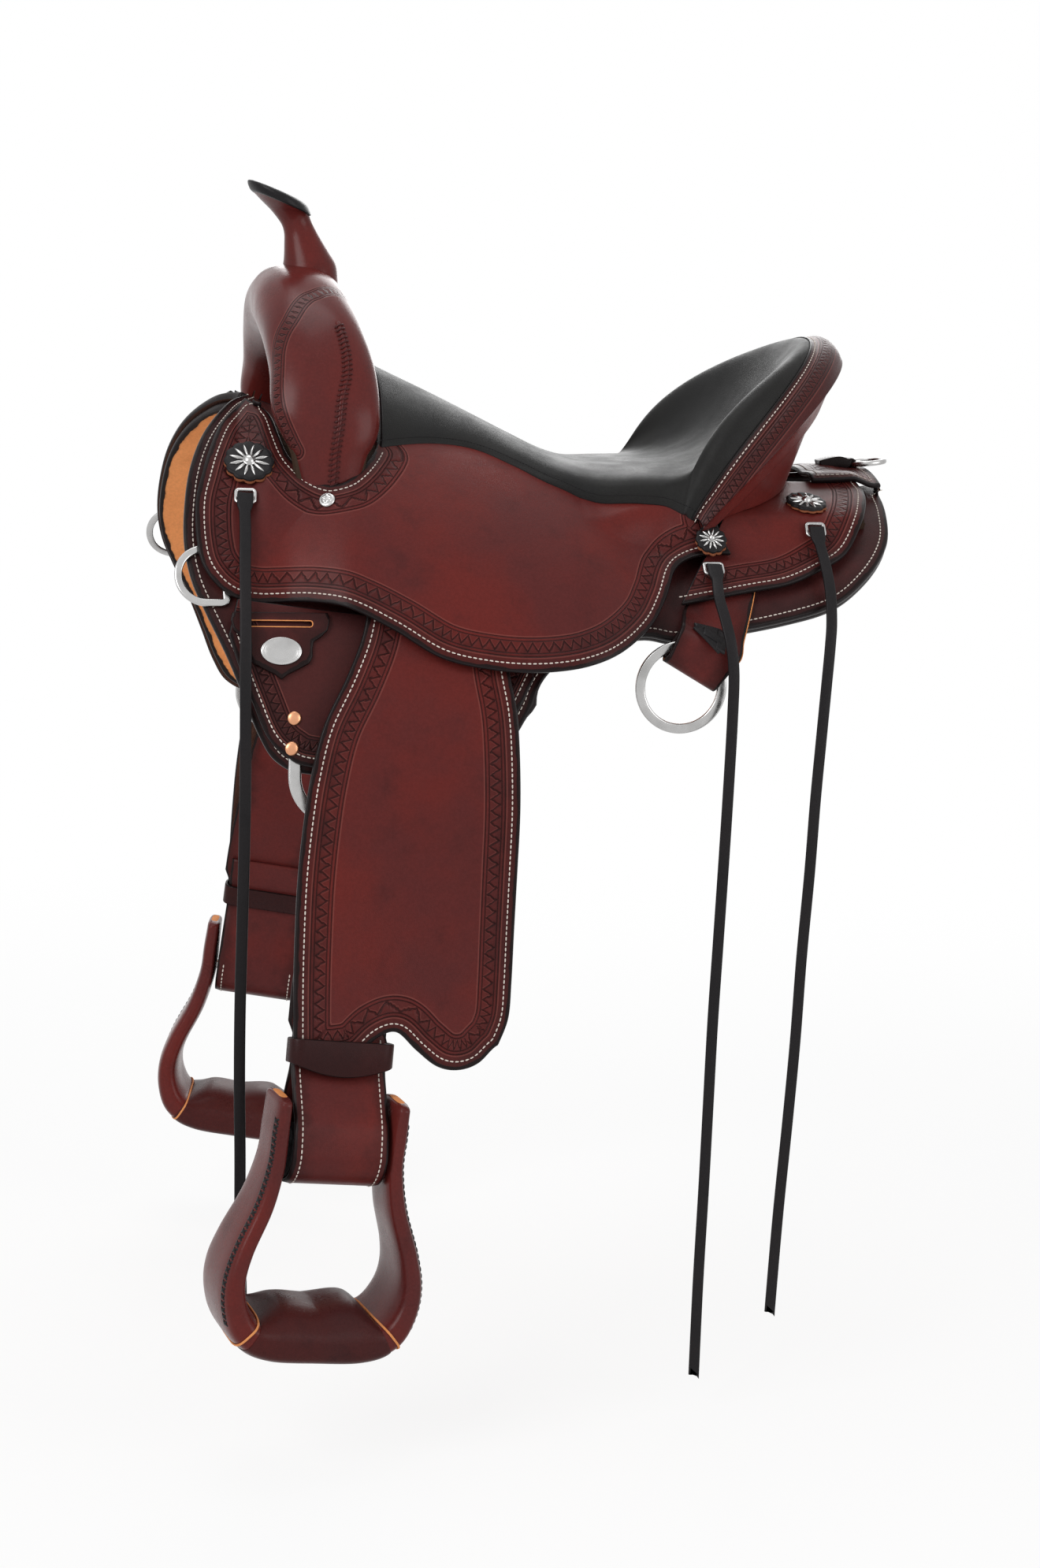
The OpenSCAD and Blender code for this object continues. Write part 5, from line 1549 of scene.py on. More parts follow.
@dataclass
class Seat:
    """The padded seat, the rolled cantle binding and the cantle's back."""

    back: BackLine
    finish: Finishes
    centre: Sequence = (
        (-166, 60, 1.5, 1.5), (-120, 52, 1.4, 1.4), (-85, 44, 1.2, 1.2), (-52, 35, 1, 0.9),
        (-20, 26.5, 1, 0.6), (10, 24, 1, 0.45), (48, 28, 1, 0.38), (95, 33, 1, 0.38), (135, 46, 1, 0.45),
        (168, 72, 1.1, 0.5), (206, 130, 1.2, 0.44), (210, 126, 1, 0.9),
    )
    pad_t: float = 14
    edge_t: float = 5
    thin_t: float = 0.8
    plump: float = 17
    lip_rows: int = 4
    swell_start: tuple[float, float] = (0.68, 0.79)
    swell_end: tuple[float, float] = (0.92, 0.985)
    rounding: int = 170
    round_start: tuple[float, float] = (0.6, 0.72)
    thin_start: tuple[float, float] = (0.62, 0.78)
    roll_turn: float = 55
    lip_lift: float = 1.5
    ridge: float = 0.6
    roll: Sequence = ((0.5, 0), (9, 3), (18, -1), (25, -12), (18, -25), (10, -46))
    roll_t: float = 3.2
    wall_reach: float = 0.94
    wall_t: float = 3
    wall_foot: tuple[float, float] = (86, 190)
    wall_half_w: float = 138

    @staticmethod
    def middle(w: Array, limit: float = 0.9999) -> Array:
        """1 on the centre plane, going down to about 0 at the sides."""
        return np.cos(np.radians(90 * np.minimum(limit, np.abs(w))))

    def point(self, u: Array, w: Array) -> Array:
        """Points on the seat's face, u from the fork to the cantle and w across."""
        u, w = np.broadcast_arrays(np.asarray(u, float), np.asarray(w, float))
        c, e = curve(self.centre, u), curve(SEAT_EDGE, u)
        off = self.back.jockey_out(e[..., 0], e[..., 1]) + self.back.gap
        side = self.back.flank(e[..., 0], e[..., 1], off)
        s = self.middle(w)
        top = self.back.spine(c[..., 0]) + c[..., 1]
        return np.stack(
            [
                mix(side[..., 0], c[..., 0], s ** c[..., 2]),
                -side[..., 1] * np.sin(np.radians(90 * w)),
                mix(side[..., 2], top, s ** c[..., 3]),
            ],
            axis=-1,
        )

    def face(self) -> tuple[Array, Array, Array, Array]:
        """The pad's rounded face, with its rows, its columns and how far it swells."""
        n, m = 160, 141
        u, w = np.linspace(0, 1, n)[:, None], np.linspace(-1, 1, m)[None]
        flat = self.point(u, w)
        side = np.abs(w)
        swell = ramp(*self.swell_start, u) * (1 - ramp(*self.swell_end, u)) * (1 - ramp(0.84, 1, side))
        swell = calmed(self.plump * swell * mix(0.55, 1, ramp(0.2, 0.6, side)), 12)
        grid = flat + grid_normals(flat) * swell[..., None]
        share = ramp(*self.round_start, u[1:-1])[..., None]
        for _ in range(self.rounding):
            calm = (grid[:-2, 1:-1] + grid[2:, 1:-1] + grid[1:-1, :-2] + grid[1:-1, 2:]) / 4
            grid[1:-1, 1:-1] = mix(grid[1:-1, 1:-1], calm, 0.8 * share)
        return grid, u, w, swell

    def pad(self) -> None:
        """The black padded seat with its sewn edges."""
        grid, u, w, swell = self.face()
        depth = mix(self.edge_t, self.pad_t, self.middle(w) ** 0.6)
        depth = mix(depth, self.edge_t, ramp(0.8, 0.92, u))
        thin = ramp(*self.thin_start, u) * ramp(0.35, 0.7, np.abs(w))
        sheet = Sheet(grid, mix(depth + swell, self.thin_t, thin), 1.8, rim_steps=8)
        mats = [self.finish.seat, self.finish.rim, self.finish.rim]
        made = place(sheet.shape(), "seat_leather", mats, "saddle", Slot.SEAT, "seat_pad")
        flat, normal = grid.reshape(-1, 3), grid_normals(grid).reshape(-1, 3)
        rows = Shape()
        fine = Thread(inset=6.0, pitch=2.6, length=1.9, width=0.7, proud=0.25)
        rows.join(fine.row(grid[::-1, -1], flat, normal))
        rows.join(fine.row(grid[:, 0], flat, normal))
        place(rows, "seat_edge_stitches", [self.finish.black], "saddle", Slot.BLACK)

    def behind(self, w: Array, p: Array) -> Array:
        """Points behind the rim of the seat from rows of reach and height."""
        w, p = np.asarray(w, float), np.asarray(p, float)
        size = mix(0.45, 1, self.middle(w, 1) ** 0.8)
        turn = np.radians(self.roll_turn * w)
        out = p[..., 0]
        shift = np.stack([out * np.cos(turn), out * np.sin(turn), p[..., 1] + 0 * turn], axis=-1)
        return self.point(1.0, w) + size[..., None] * shift

    def roll_inner(self, k: int) -> Array:
        """The inside of the roll's profile at one of its knots."""
        p = np.array(self.roll, float)
        d = unit(p[min(len(p) - 1, k + 1)] - p[max(0, k - 1)])
        return p[k] + self.roll_t * np.array([d[1], -d[0]])

    def binding(self) -> None:
        """The tooled rim: a lip over the pad's edge that rolls down behind the cantle."""
        steps, rows = self.lip_rows, 40
        face, _, w, _ = self.face()
        m = w.shape[1]
        lip = (face + grid_normals(face) * self.lip_lift)[-steps:]
        t = np.linspace(0.05, 1, rows)
        grid = calmed(np.concatenate([lip[:-1], self.behind(w, curve(self.roll, t)[:, None])]), 3)
        ridge = steps - 1 + int(np.searchsorted(t, self.ridge))
        run = np.cumsum(np.linalg.norm(np.diff(grid, axis=0, prepend=grid[:1]), axis=-1), axis=0)
        bead = 1.2 * np.exp(-(((run - run[ridge]) / 1.3) ** 2))
        grid = grid + grid_normals(grid) * bead[..., None]
        n = len(grid)
        size = mix(0.3, 1, self.middle(w, 1))
        past_lip = ramp(steps - 1, steps + 8, np.arange(n))[:, None]
        thick = mix(self.lip_lift - 0.3, self.roll_t * size, past_lip)
        shape = Sheet(grid, thick, 0.7, [*reversed(range(m))]).shape()
        mats = [*self.finish.sheet(self.finish.binding), self.finish.oxblood]
        for i in range((ridge + 1) * (m - 1), (n - 1) * (m - 1)):
            shape.parts[i] = len(mats) - 1
        place(shape, "cantle_roll", mats, "saddle", Slot.OXBLOOD, "cantle_binding")
        cream = Thread(inset=3.6, pitch=4.3, length=3.0, width=1.0)
        row = cream.row(grid[0, ::-1], grid.reshape(-1, 3), grid_normals(grid).reshape(-1, 3))
        place(row, "cantle_stitches", [self.finish.thread], "saddle", Slot.OXBLOOD)

    def wall(self) -> None:
        """The leather wall behind the cantle."""
        n, m = 24, 120
        w = np.linspace(-self.wall_reach, self.wall_reach, m)
        top = self.behind(w, self.roll_inner(len(self.roll) - 1) + np.array([-self.back.gap, 3]))
        x = mix(*self.wall_foot, self.middle(w) ** 0.9)
        y = self.wall_half_w * np.sin(np.radians(90 * w))
        a = np.full_like(x, 30.0)
        for _ in range(2):
            reach = self.back.half_w + self.back.rear_out(a) + self.back.over_bar(x, a)
            a = np.degrees(np.arcsin(np.abs(y) / reach))
        off = self.back.rear_out(a) + self.back.over_bar(x, a) + 4 * self.back.gap
        foot = np.stack([x, y, self.back.flank(x, a, off)[:, 2]], axis=1)
        grid = mix(top[None], foot[None], np.linspace(0, 1, n)[:, None, None])
        sheet = Sheet(grid, self.wall_t, 0.6)
        mats = self.finish.sheet(self.finish.oxblood)
        place(sheet.shape(), "cantle_wall", mats, "saddle", Slot.OXBLOOD, "cantle_back")

    def build(self) -> None:
        """Pad, binding and wall."""
        self.pad()
        self.binding()
        self.wall()


@dataclass
class Hang:
    """How the fenders hang: out from the flank, then nearly straight down with a twist."""

    back: BackLine
    bend: tuple[float, float] = (-150, -80)
    slope: tuple[float, float] = (0.176, 0.404)
    inset: float = 16
    twist: float = 10
    twist_x: float = -222
    twist_z: tuple[float, float] = (-150, -380)

    def reach(self, z: Array | float) -> Array:
        """Distance of the hanging plane from the centre plane."""
        z = np.asarray(z, float)
        low, high = self.bend
        h = high - low
        start = self.back.half_w - self.inset
        mid = start + h * sum(self.slope) / 2
        d = z - low
        bent = mid - self.slope[0] * d - (self.slope[1] - self.slope[0]) * d * d / (2 * h)
        below = np.where(z <= low, mid - self.slope[0] * d, bent)
        return np.where(z >= high, start - self.slope[1] * (z - high), below)

    def at(self, x: Array | float, z: Array | float, off: float) -> Array:
        """Points on the hanging plane, moved out by off."""
        x, z = np.broadcast_arrays(np.asarray(x, float), np.asarray(z, float))
        turn = np.radians(self.twist * ramp(*self.twist_z, z))
        y = -(self.reach(z) + off) + np.tan(turn) * (x - self.twist_x)
        return np.stack([x, y, z], axis=-1)


@dataclass
class Fender:
    """A fender with its stirrup leather and hobble strap."""

    back: BackLine
    hang: Hang
    finish: Finishes
    front: Sequence = (
        (-190, -30), (-197, -60), (-210, -90), (-228, -126), (-238, -165), (-244, -204), (-248, -243),
        (-250, -282), (-251, -321), (-251, -372),
    )
    rear: Sequence = (
        (-86, -52), (-84, -83), (-79, -113), (-77, -143), (-76, -189), (-77, -235), (-78, -280),
        (-79, -326), (-81, -354), (-89, -374),
    )
    foot: Sequence = (-378, -378, -378, -375, -362, -359, -374, -387, -391, -387, -374)
    fender_t: float = 5
    strap_t: float = 4
    strap_w: float = 76
    strap_inset: float = 6
    strap_line: Sequence = (
        (-136, -12), (-146, -60), (-166, -120), (-187, -190), (-204, -260), (-215, -320), (-219, -352),
    )
    sleeve_d: float = 42
    bolt_x: float = -222
    bolt_z: float = -449
    bolt_tilt: float = 7
    hobble_up: float = 76
    hobble_h: float = 19
    hobble_t: float = 3
    hobble_drop: float = 9
    hobble_r: float = 7.5
    hobble_slack: float = 1.2

    def __post_init__(self) -> None:
        """Works out the bolt's frame."""
        turn, tilt = math.radians(self.hang.twist), math.radians(self.bolt_tilt)
        out = float(self.hang.reach(self.bolt_z)) + self.strap_t / 2
        self.bolt = np.array([self.bolt_x, -out, self.bolt_z])
        level = np.array([math.cos(turn), math.sin(turn), 0])
        self.axis = level * math.cos(tilt) - [0, 0, math.sin(tilt)]
        self.out = np.array([math.sin(turn), -math.cos(turn), 0])
        self.up = np.cross(self.axis, -self.out)
        lean = math.atan(self.hang.slope[0])
        self.loop_up = math.cos(lean) * self.up - math.sin(lean) * self.out
        self.loop_out = math.cos(lean) * self.out + math.sin(lean) * self.up
        self.loop_r = self.sleeve_d / 2 + 2 * self.back.gap + self.strap_t / 2
        self.back_gap = self.strap_t + 2 * self.back.gap

    def from_bolt(self, out: float, up: float) -> Array:
        """A point from the bolt, out and up along the leather."""
        return self.bolt + self.loop_out * out + self.loop_up * up

    def panel(self, side: Side) -> None:
        """The fender itself."""
        n, m = 110, 150
        u, v = np.linspace(0, 1, n)[:, None], np.linspace(1, 0, m)[None]
        f, r = curve(self.front, v[0])[None], curve(self.rear, v[0])[None]
        x, z = mix(f[..., 0], r[..., 0], u), mix(f[..., 1], r[..., 1], u)
        low = mix(self.front[-1][1], self.rear[-1][1], u)
        z = z + (curve(self.foot, u[:, 0])[:, None] - low) * ramp(0.6, 1, v)
        grid = self.hang.at(x, z, self.strap_t + 4 * self.back.gap + self.fender_t)
        border = [j for j in range(m - 1, 0, -1)] + [i * m for i in range(n)]
        border += [(n - 1) * m + j for j in range(1, m)]
        sheet = Sheet(grid, self.fender_t, 1.3, border)
        mats = self.finish.sheet(self.finish.tooled)
        body = f"fender_{side.tag}"
        place(sheet.shape(), "fender_leather", mats, body, Slot.OXBLOOD, body, side=side)
        row = sheet.stitches(Thread())
        place(row, "fender_stitches", [self.finish.thread], body, Slot.OXBLOOD, side=side)

    def strap_path(self) -> tuple[Array, Array]:
        """Centre points and side directions of the leather and its loop."""
        u = np.linspace(0, 1, 34)
        line = curve(self.strap_line, u)
        flat = self.hang.at(line[:, 0], line[:, 1], self.strap_t / 2)
        way = np.gradient(line, axis=0)
        d = 20 * unit(np.stack([-way[:, 1], way[:, 0]], axis=1))
        wide = self.hang.at(line[:, 0] + d[:, 0], line[:, 1] + d[:, 1], 0)
        narrow = self.hang.at(line[:, 0] - d[:, 0], line[:, 1] - d[:, 1], 0)
        side = unit(mix(unit(wide - narrow), self.axis, ramp(0.7, 1, u)[:, None]))
        r, g = self.loop_r, self.back_gap
        knots = [flat[-2], flat[-1]]
        knots += [self.from_bolt(*p) for p in ((0, 84), (0, 64), (9, 44), (r - 3, 20))]
        round_bolt = np.radians(np.arange(0, 181, 20))
        knots += [self.from_bolt(r * math.cos(a), -r * math.sin(a)) for a in round_bolt]
        knots += [self.from_bolt(*p) for p in ((3 - r, 20), (-g - 8, 44), (-g, 64), (-g, 84), (-g, 112))]
        loop = curve(knots, np.linspace(1 / (len(knots) - 1), 1, 110))[1:]
        across = np.broadcast_to(self.axis, loop.shape)
        return np.concatenate([flat, loop]), np.concatenate([side, across])

    def leather(self, side: Side) -> None:
        """The stirrup leather with the loop at its foot, and its stitching.

        Args:
            side: the side that it hangs on.
        """
        path, across = self.strap_path()
        up = unit(np.cross(across, tangents(path)))
        section = rounded(self.strap_w, self.strap_t, 1.5, 3)
        wide = np.linspace(-0.5, 0.5, 26)[1:-1] * (self.strap_w - 3)
        low = np.stack([wide, np.full_like(wide, -self.strap_t / 2)], 1)
        high = np.stack([wide[::-1], np.full_like(wide, self.strap_t / 2)], 1)
        section = np.concatenate([low, section[2:6], high, section[10:14]])
        edge = self.strap_w / 2 - np.abs(section[:, 0])
        body, finish = f"fender_{side.tag}", self.finish
        shape = sweep(path, across, up, section, edge=edge)
        node = f"stirrup_leather_{side.tag}"
        place(shape, "strap_leather", [finish.oxblood], body, Slot.OXBLOOD, node, side=side)
        rows = Shape()
        sewn = slice(38, len(path) - 26)
        face = up[sewn] * (1.0 if np.dot(up[sewn][0], self.out) > 0 else -1.0)
        for way in (-1, 1):
            line = path[sewn] + face * self.strap_t / 2
            line = line + across[sewn] * way * (self.strap_w / 2 - self.strap_inset)
            rows.join(Thread().along(line, line, face, search_tree(line)))
        place(rows, "strap_stitches", [finish.thread], body, Slot.OXBLOOD, side=side)

    def hobble(self, side: Side) -> None:
        """The strap round both parts of the leather above the loop, bowed down in front."""
        slack = self.hobble_slack
        front = self.strap_t / 2 + 4 * self.back.gap + self.fender_t + slack
        rear = self.back_gap + self.strap_t / 2 + slack
        w, d = (self.strap_w + 2 * slack + self.hobble_t) / 2, (front + rear + self.hobble_t) / 2
        loop = outline([(-w, d), (-w, -d), (w, -d), (w, d)], [self.hobble_r] * 4, 1.6)
        deep = (loop[:, 1:] + (front - rear) / 2) * self.loop_out
        path = self.from_bolt(0, self.hobble_up) + loop[:, :1] * self.axis + deep
        up = np.cross(tangents(path, closed=True), self.loop_up)
        bow = np.cos(np.clip(loop[:, 0] / w, -1, 1) * math.pi / 2) ** 0.9
        bow = bow * self.hobble_drop * (loop[:, 1] > 0)
        base = rounded(self.hobble_h, self.hobble_t, 1.2, 3)
        section = repeated(base, len(path))
        section[..., 0] -= np.where(section[..., 0] < 0, bow[:, None], 0)
        edge = self.hobble_h / 2 - np.abs(base[:, 0])
        shape = sweep(path, self.loop_up, up, section, closed=True, edge=edge)
        body, node = f"fender_{side.tag}", f"hobble_strap_{side.tag}"
        place(shape, "hobble_leather", [self.finish.hobble], body, Slot.DARK, node, side=side)

    def build(self) -> None:
        """Both fenders with their leathers and hobble straps."""
        for side in Side:
            self.panel(side)
            self.leather(side)
            self.hobble(side)


@dataclass
class Stirrup:
    """A wood stirrup wrapped in laced leather."""

    fender: Fender
    finish: Finishes
    inside_w: float = 124
    branch_t: float = 16
    tread_depth: float = 84
    branch_depth: float = 46
    power: float = 0.58
    tread_reach: float = 0.2
    tread_pad: float = 15
    wrap_t: float = 1.3
    end_rings: Sequence = ((0.95, 1.4), (0.8, 2.9), (0.55, 3.9), (0.3, 4.3))
    lace_pitch: float = 5.2
    lace_angle: float = 38
    lace_reach: float = 0.36

    def line(self) -> Array:
        """Rows of distance from the middle, height, thickness and share of the tread's depth."""
        near = (self.fender.strap_w + 5) / 2 + self.branch_t / 2 - 1
        wide = self.inside_w / 2 + self.branch_t / 2 + 2
        return np.array(
            [
                (near, 40, 0.75, 0), (near, 18, 0.85, 0), (near, -8, 0.9, 0.05),
                (near + 6, -40, 1, 0.25), (wide - 6, -74, 1.08, 0.5), (wide - 1, -98, 1.2, 0.72),
                (wide - 4, -119, 1.4, 0.88), (wide - 15, -137, 1.65, 1), (wide - 37, -145, 1.75, 1),
                (0, -146, 1.75, 1),
            ]
        )

    def ring(self, u: float, angles: Array, grow: float = 0, hump: float = 0) -> Array:
        """A ring round the stirrup, from one end of it to the other as u goes from -1 to 1.

        Args:
            u: the place along the stirrup, 0 in the middle of the tread.
            angles: places round the ring, from its outer side.
            grow: how far the ring lies outside the wood.
            hump: how far the inner side is padded.

        Returns:
            The ring's points.
        """
        way, line = (-1 if u < 0 else 1), self.line()
        c = curve(line, 1 - abs(u))
        a, b = curve(line, min(1, 1.02 - abs(u))), curve(line, max(0, 0.98 - abs(u)))
        d = unit(a[:2] - b[:2])
        t = c[2] * self.branch_t / 2 + grow
        h = mix(self.branch_depth, self.tread_depth, c[3]) / 2 + grow
        p, q = t * squarish(np.cos(angles), self.power), h * squarish(np.sin(angles), self.power)
        p = p - np.where(p < 0, hump * (1 - np.abs(q / h) ** 2.5), 0)
        f = self.fender
        return (
            f.bolt
            + f.axis * (way * (c[0] - p * d[1]))[:, None]
            + f.up * (c[1] + p * d[0])[:, None]
            + f.out * q[:, None]
        )

    def rounded_ends(self, rings: Array) -> Array:
        """The rings with smaller ones past the first and the last, so that the ends are rounded."""
        ends = []
        for first, step in ((rings[0], rings[0] - rings[1]), (rings[-1], rings[-1] - rings[-2])):
            middle, away = first.mean(axis=0), unit(step.mean(axis=0))
            ends.append([middle + (first - middle) * k + away * h for k, h in self.end_rings])
        return np.array([*reversed(ends[0]), *rings, *ends[1]])

    def frame(self, side: Side) -> None:
        """The wrapped stirrup, its tread wrap and its lacing.

        Args:
            side: the side that it hangs on.
        """
        n, s = 161, 48
        angles = -np.linspace(0, 2 * math.pi, s, endpoint=False)
        rings = np.stack([self.ring(u, angles) for u in np.linspace(-1, 1, n)])
        whole = self.rounded_ends(rings)
        count = len(whole)
        shape = Shape()
        shape.add(whole, grid_faces(count, s, wrap=True), 0)
        shape.parts[:s] = [1] * s
        shape.parts[-s:] = [1] * s
        shape.stitch_faces([list(range(s)), [count * s - 1 - k for k in range(s)]], 1)
        body = f"stirrup_{side.tag}"
        mats = [self.finish.glossy, self.finish.raw_edge]
        place(shape, "stirrup_leather_wrap", mats, body, Slot.OXBLOOD, body, side=side)
        us = np.linspace(-self.tread_reach, self.tread_reach, 61)
        even = us / self.tread_reach
        lift = self.wrap_t - 0.9 * np.abs(even) ** 10
        pad = self.tread_pad * (1 + 0.3 * even - 0.12 * np.cos(7 * even)) * (1 - np.abs(even) ** 3)
        wrap = np.stack([self.ring(u, angles, g, k) for u, g, k in zip(us, lift, pad)])
        tread = Shape()
        tread.add(wrap, grid_faces(len(us), s, wrap=True))
        place(tread, "tread_wrap", [self.finish.hobble], body, Slot.DARK, side=side)
        self.seams(side, angles)
        self.lacing(side, rings, angles)

    def seams(self, side: Side, angles: Array) -> None:
        """The slanted raw edges where the tread's wrap ends on each branch."""
        seam = Shape()
        for way in (-1, 1):
            places = way * (self.tread_reach + 0.01 + 0.022 * np.sin(angles))
            path = np.array([self.ring(u, a, 0.6)[0] for u, a in zip(places, angles[:, None])])
            t = tangents(path, closed=True)
            up = square_to(unit(path - path.mean(axis=0)), t)
            seam.join(sweep(path, np.cross(t, up), up, rounded(1.8, 1.2, 0.5, 2), closed=True))
        body = f"stirrup_{side.tag}"
        place(seam, "tread_seams", [self.finish.raw_edge], body, Slot.OXBLOOD, side=side)

    def lacing(self, side: Side, rings: Array, angles: Array) -> None:
        """Cross lacing down the outer front edge of both branches."""
        lace = Shape()
        laced = slice(4, int(len(rings) * self.lace_reach))
        column = int(np.argmin(np.abs(angles + 2 * math.pi - math.radians(self.lace_angle))))
        middle = rings.mean(axis=1)
        for order in (1, -1):
            turned = rings[::order][laced]
            line, heart = turned[:, column], middle[::order][laced]
            spots = resample(line, self.lace_pitch)[0][1:]
            t = tangents(spots)
            near = [int(np.argmin(np.linalg.norm(line - p, axis=1))) for p in spots]
            across = unit(turned[near, column + 1] - turned[near, column - 1])
            away = unit(np.cross(t, across))
            away *= np.sign(np.sum(away * (spots - heart[near]), axis=1, keepdims=True))
            a = np.linspace(-1, 1, 7)[:, None]
            for p, way, out, wide in zip(spots, t, away, across):
                for slant in (-0.6, 0.6):
                    arc = p + unit(wide + slant * way) * a * 4.4 + out * (1.7 * np.cos(a * 1.5) - 1.1)
                    flat = unit(np.cross(tangents(arc), out))
                    lace.join(sweep(arc, flat, out, rounded(1.8, 0.9, 0.4, 2)))
        body = f"stirrup_{side.tag}"
        place(lace, "stirrup_lacing", [self.finish.black], body, Slot.BLACK, side=side)

    def build(self) -> None:
        """Both stirrups."""
        for side in Side:
            self.frame(side)


@dataclass
class Rigging:
    """Dees, rings, keepers, badges, rivets and the rear rigging straps."""

    back: BackLine
    finish: Finishes
    front_dee: tuple[float, float] = (-216, -144)
    front_size: tuple[float, float] = (76, 78)
    front_band: float = 10
    dee_rise: float = 16
    rivets: Sequence = ((-250, -122), (-252, -145), (-180, -132), (-178, -150))
    keeper: tuple[float, float] = (-260, -68)
    keeper_t: float = 3
    breast_dee: tuple[float, float] = (-300, -18)
    breast_d: float = 50
    breast_band: float = 6
    ring_x: float = 62
    ring_z: float = -99
    ring_d: float = 75
    ring_band: float = 8
    tab_w: float = 17
    tab_t: float = 2.6
    ring_swing: float = 14
    fold_w: float = 50
    fold_room: float = 0.6
    fold_lean: float = 30
    strap_t: float = 3.5
    strap_flank: Sequence = (
        (114, -3, 0), (109, -16, 0), (102, -29, 0), (95, -42, 0), (89, -52, 0.1), (85, -59, 0.6),
    )
    strap_wide: Sequence = (48, 50, 52, 54, 56, 57, 56)
    keeper_half: Sequence = (
        (0, 26), (37, 26), (38.5, 20), (36.5, 12), (31, 6.5), (25.5, 3), (24.5, -3), (24.5, -9),
        (22, -14), (14, -18.5), (5, -23), (0, -27),
    )
    keeper_rows: Sequence = (
        (0.0, 0.2), (0.0, 2.5), (0.03, 3.0), (0.12, 3.0), (0.4, 3.0), (0.7, 3.0), (0.9, 3.0),
        (0.98, 2.9), (1.0, 2.3), (1.0, 0.3),
    )
    slot_half: tuple[float, float] = (25, 2.5)
    slot_z: float = 17
    badge_half: tuple[float, float] = (16, 11)
    badge_z: float = -5
    badge_rows: Sequence = (
        (0.0, 1.5), (0.5, 1.5), (0.82, 1.4), (0.86, 1.1), (0.9, 1.6), (0.97, 1.6), (1.0, 1.0), (1.0, 0.0),
    )
    rivet_dome: Sequence = (
        (0.01, 1.9), (1.5, 1.86), (3, 1.7), (4.3, 1.3), (5.2, 0.7), (5.5, 0.2), (5.5, -0.3),
    )
    knot_strands: Sequence = (
        ((-15, 1), (9, 13), 0.9, 8.5), ((-15, 1), (10, -12), 1.5, 8.5), ((9, 14), (9, -13), 2.1, 8.5),
        ((-8, 0.5), (11, 0.5), 2.4, 10.5),
    )
    crupper_d: float = 36
    crupper_wire: float = 4.5
    tab_lead: Sequence = ((-28, 9), (-20, 10.5), (-10, 11))
    tab_fill: float = 7

    def metal_band(self, seat: Seat3, flat: Array, width: float, thick: float, lift: float) -> Shape:
        """A metal band with rounded edges along a closed outline on a surface."""
        return band(seat, flat, rounded(width, thick, 0.42 * thick, 4), lift)

    def dees(self, side: Side) -> None:
        """The front rigging dee and the breast collar dee."""
        gap, t = self.back.gap, self.back.dee_t
        steel, tag = [self.finish.steel], side.tag
        w, h = self.front_size
        b = self.front_band / 2
        r = w / 2 - b
        top, low = self.dee_rise - b, self.dee_rise - h + b
        flat = outline([(-r, top), (-r, low), (r, low), (r, top)], [4, r - 0.5, r - 0.5, 4])
        seat = self.back.on(*self.front_dee, 2 * gap)
        shape = self.metal_band(seat, flat, self.front_band, t, t / 2)
        place(shape, "front_dee_metal", steel, "saddle", Slot.STEEL, f"front_dee_{tag}", side=side)
        b = self.breast_band / 2
        r = self.breast_d / 2 - b
        rear, front = 2 - b, -16 - r
        flat = outline([(rear, r), (front, r), (front, -r), (rear, -r)], [3, r - 0.5, r - 0.5, 3])
        seat = self.back.on(*self.breast_dee, gap)
        shape = self.metal_band(seat, flat, self.breast_band, t - gap, (t - gap) / 2)
        place(shape, "breast_dee_metal", steel, "saddle", Slot.STEEL, f"breast_dee_{tag}", side=side)

    def keepers(self, side: Side) -> None:
        """The latigo keeper: a tab with shoulders, a pointed foot and a raw edged slot.

        Args:
            side: the side that it lies on.
        """
        seat = self.back.on(*self.keeper, self.plate_out())
        half = np.array(self.keeper_half, float)
        loop = np.concatenate([half[1:-1], half[-1:], half[-2:0:-1] * [-1, 1]])
        even, _ = resample(np.c_[np.r_[loop, loop[:1]], np.zeros(len(loop) + 1)], 1.2)
        edge = even[:-1, :2]
        w, h = self.slot_half
        top, low = self.slot_z + h, self.slot_z - h
        slot = outline([(-w, top), (-w, low), (w, low), (w, top)], [2.2] * 4, 0.8)
        turn, want = (np.arctan2(p[:, 1] - self.slot_z, p[:, 0] * 0.2) for p in (slot, edge))
        away = np.abs((turn[None] - want[:, None] + math.pi) % (2 * math.pi) - math.pi)
        inner = slot[np.argmin(away, axis=1)]
        points = np.stack([seat.at(mix(inner, edge, r), z) for r, z in self.keeper_rows])
        far = np.stack([np.full(len(edge), 20 * (1 - r)) for r, _ in self.keeper_rows])
        shape = Shape()
        shape.add(points, grid_faces(len(points), len(edge), wrap=True), 0, far)
        node = f"latigo_keeper_{side.tag}"
        place(shape, "keeper_leather", [self.finish.dark], "saddle", Slot.DARK, node, side=side)
        raw = band(seat, slot, rounded(0.9, 0.8, 0.35, 2), self.keeper_t - 0.2)
        place(raw, "keeper_slot_edge", [self.finish.raw_edge], "saddle", Slot.DARK, side=side)

    def plate_out(self) -> float:
        """How far out the face of the rigging plate lies, with a gap on it."""
        return self.back.rigging_in() + self.strap_t + self.back.gap

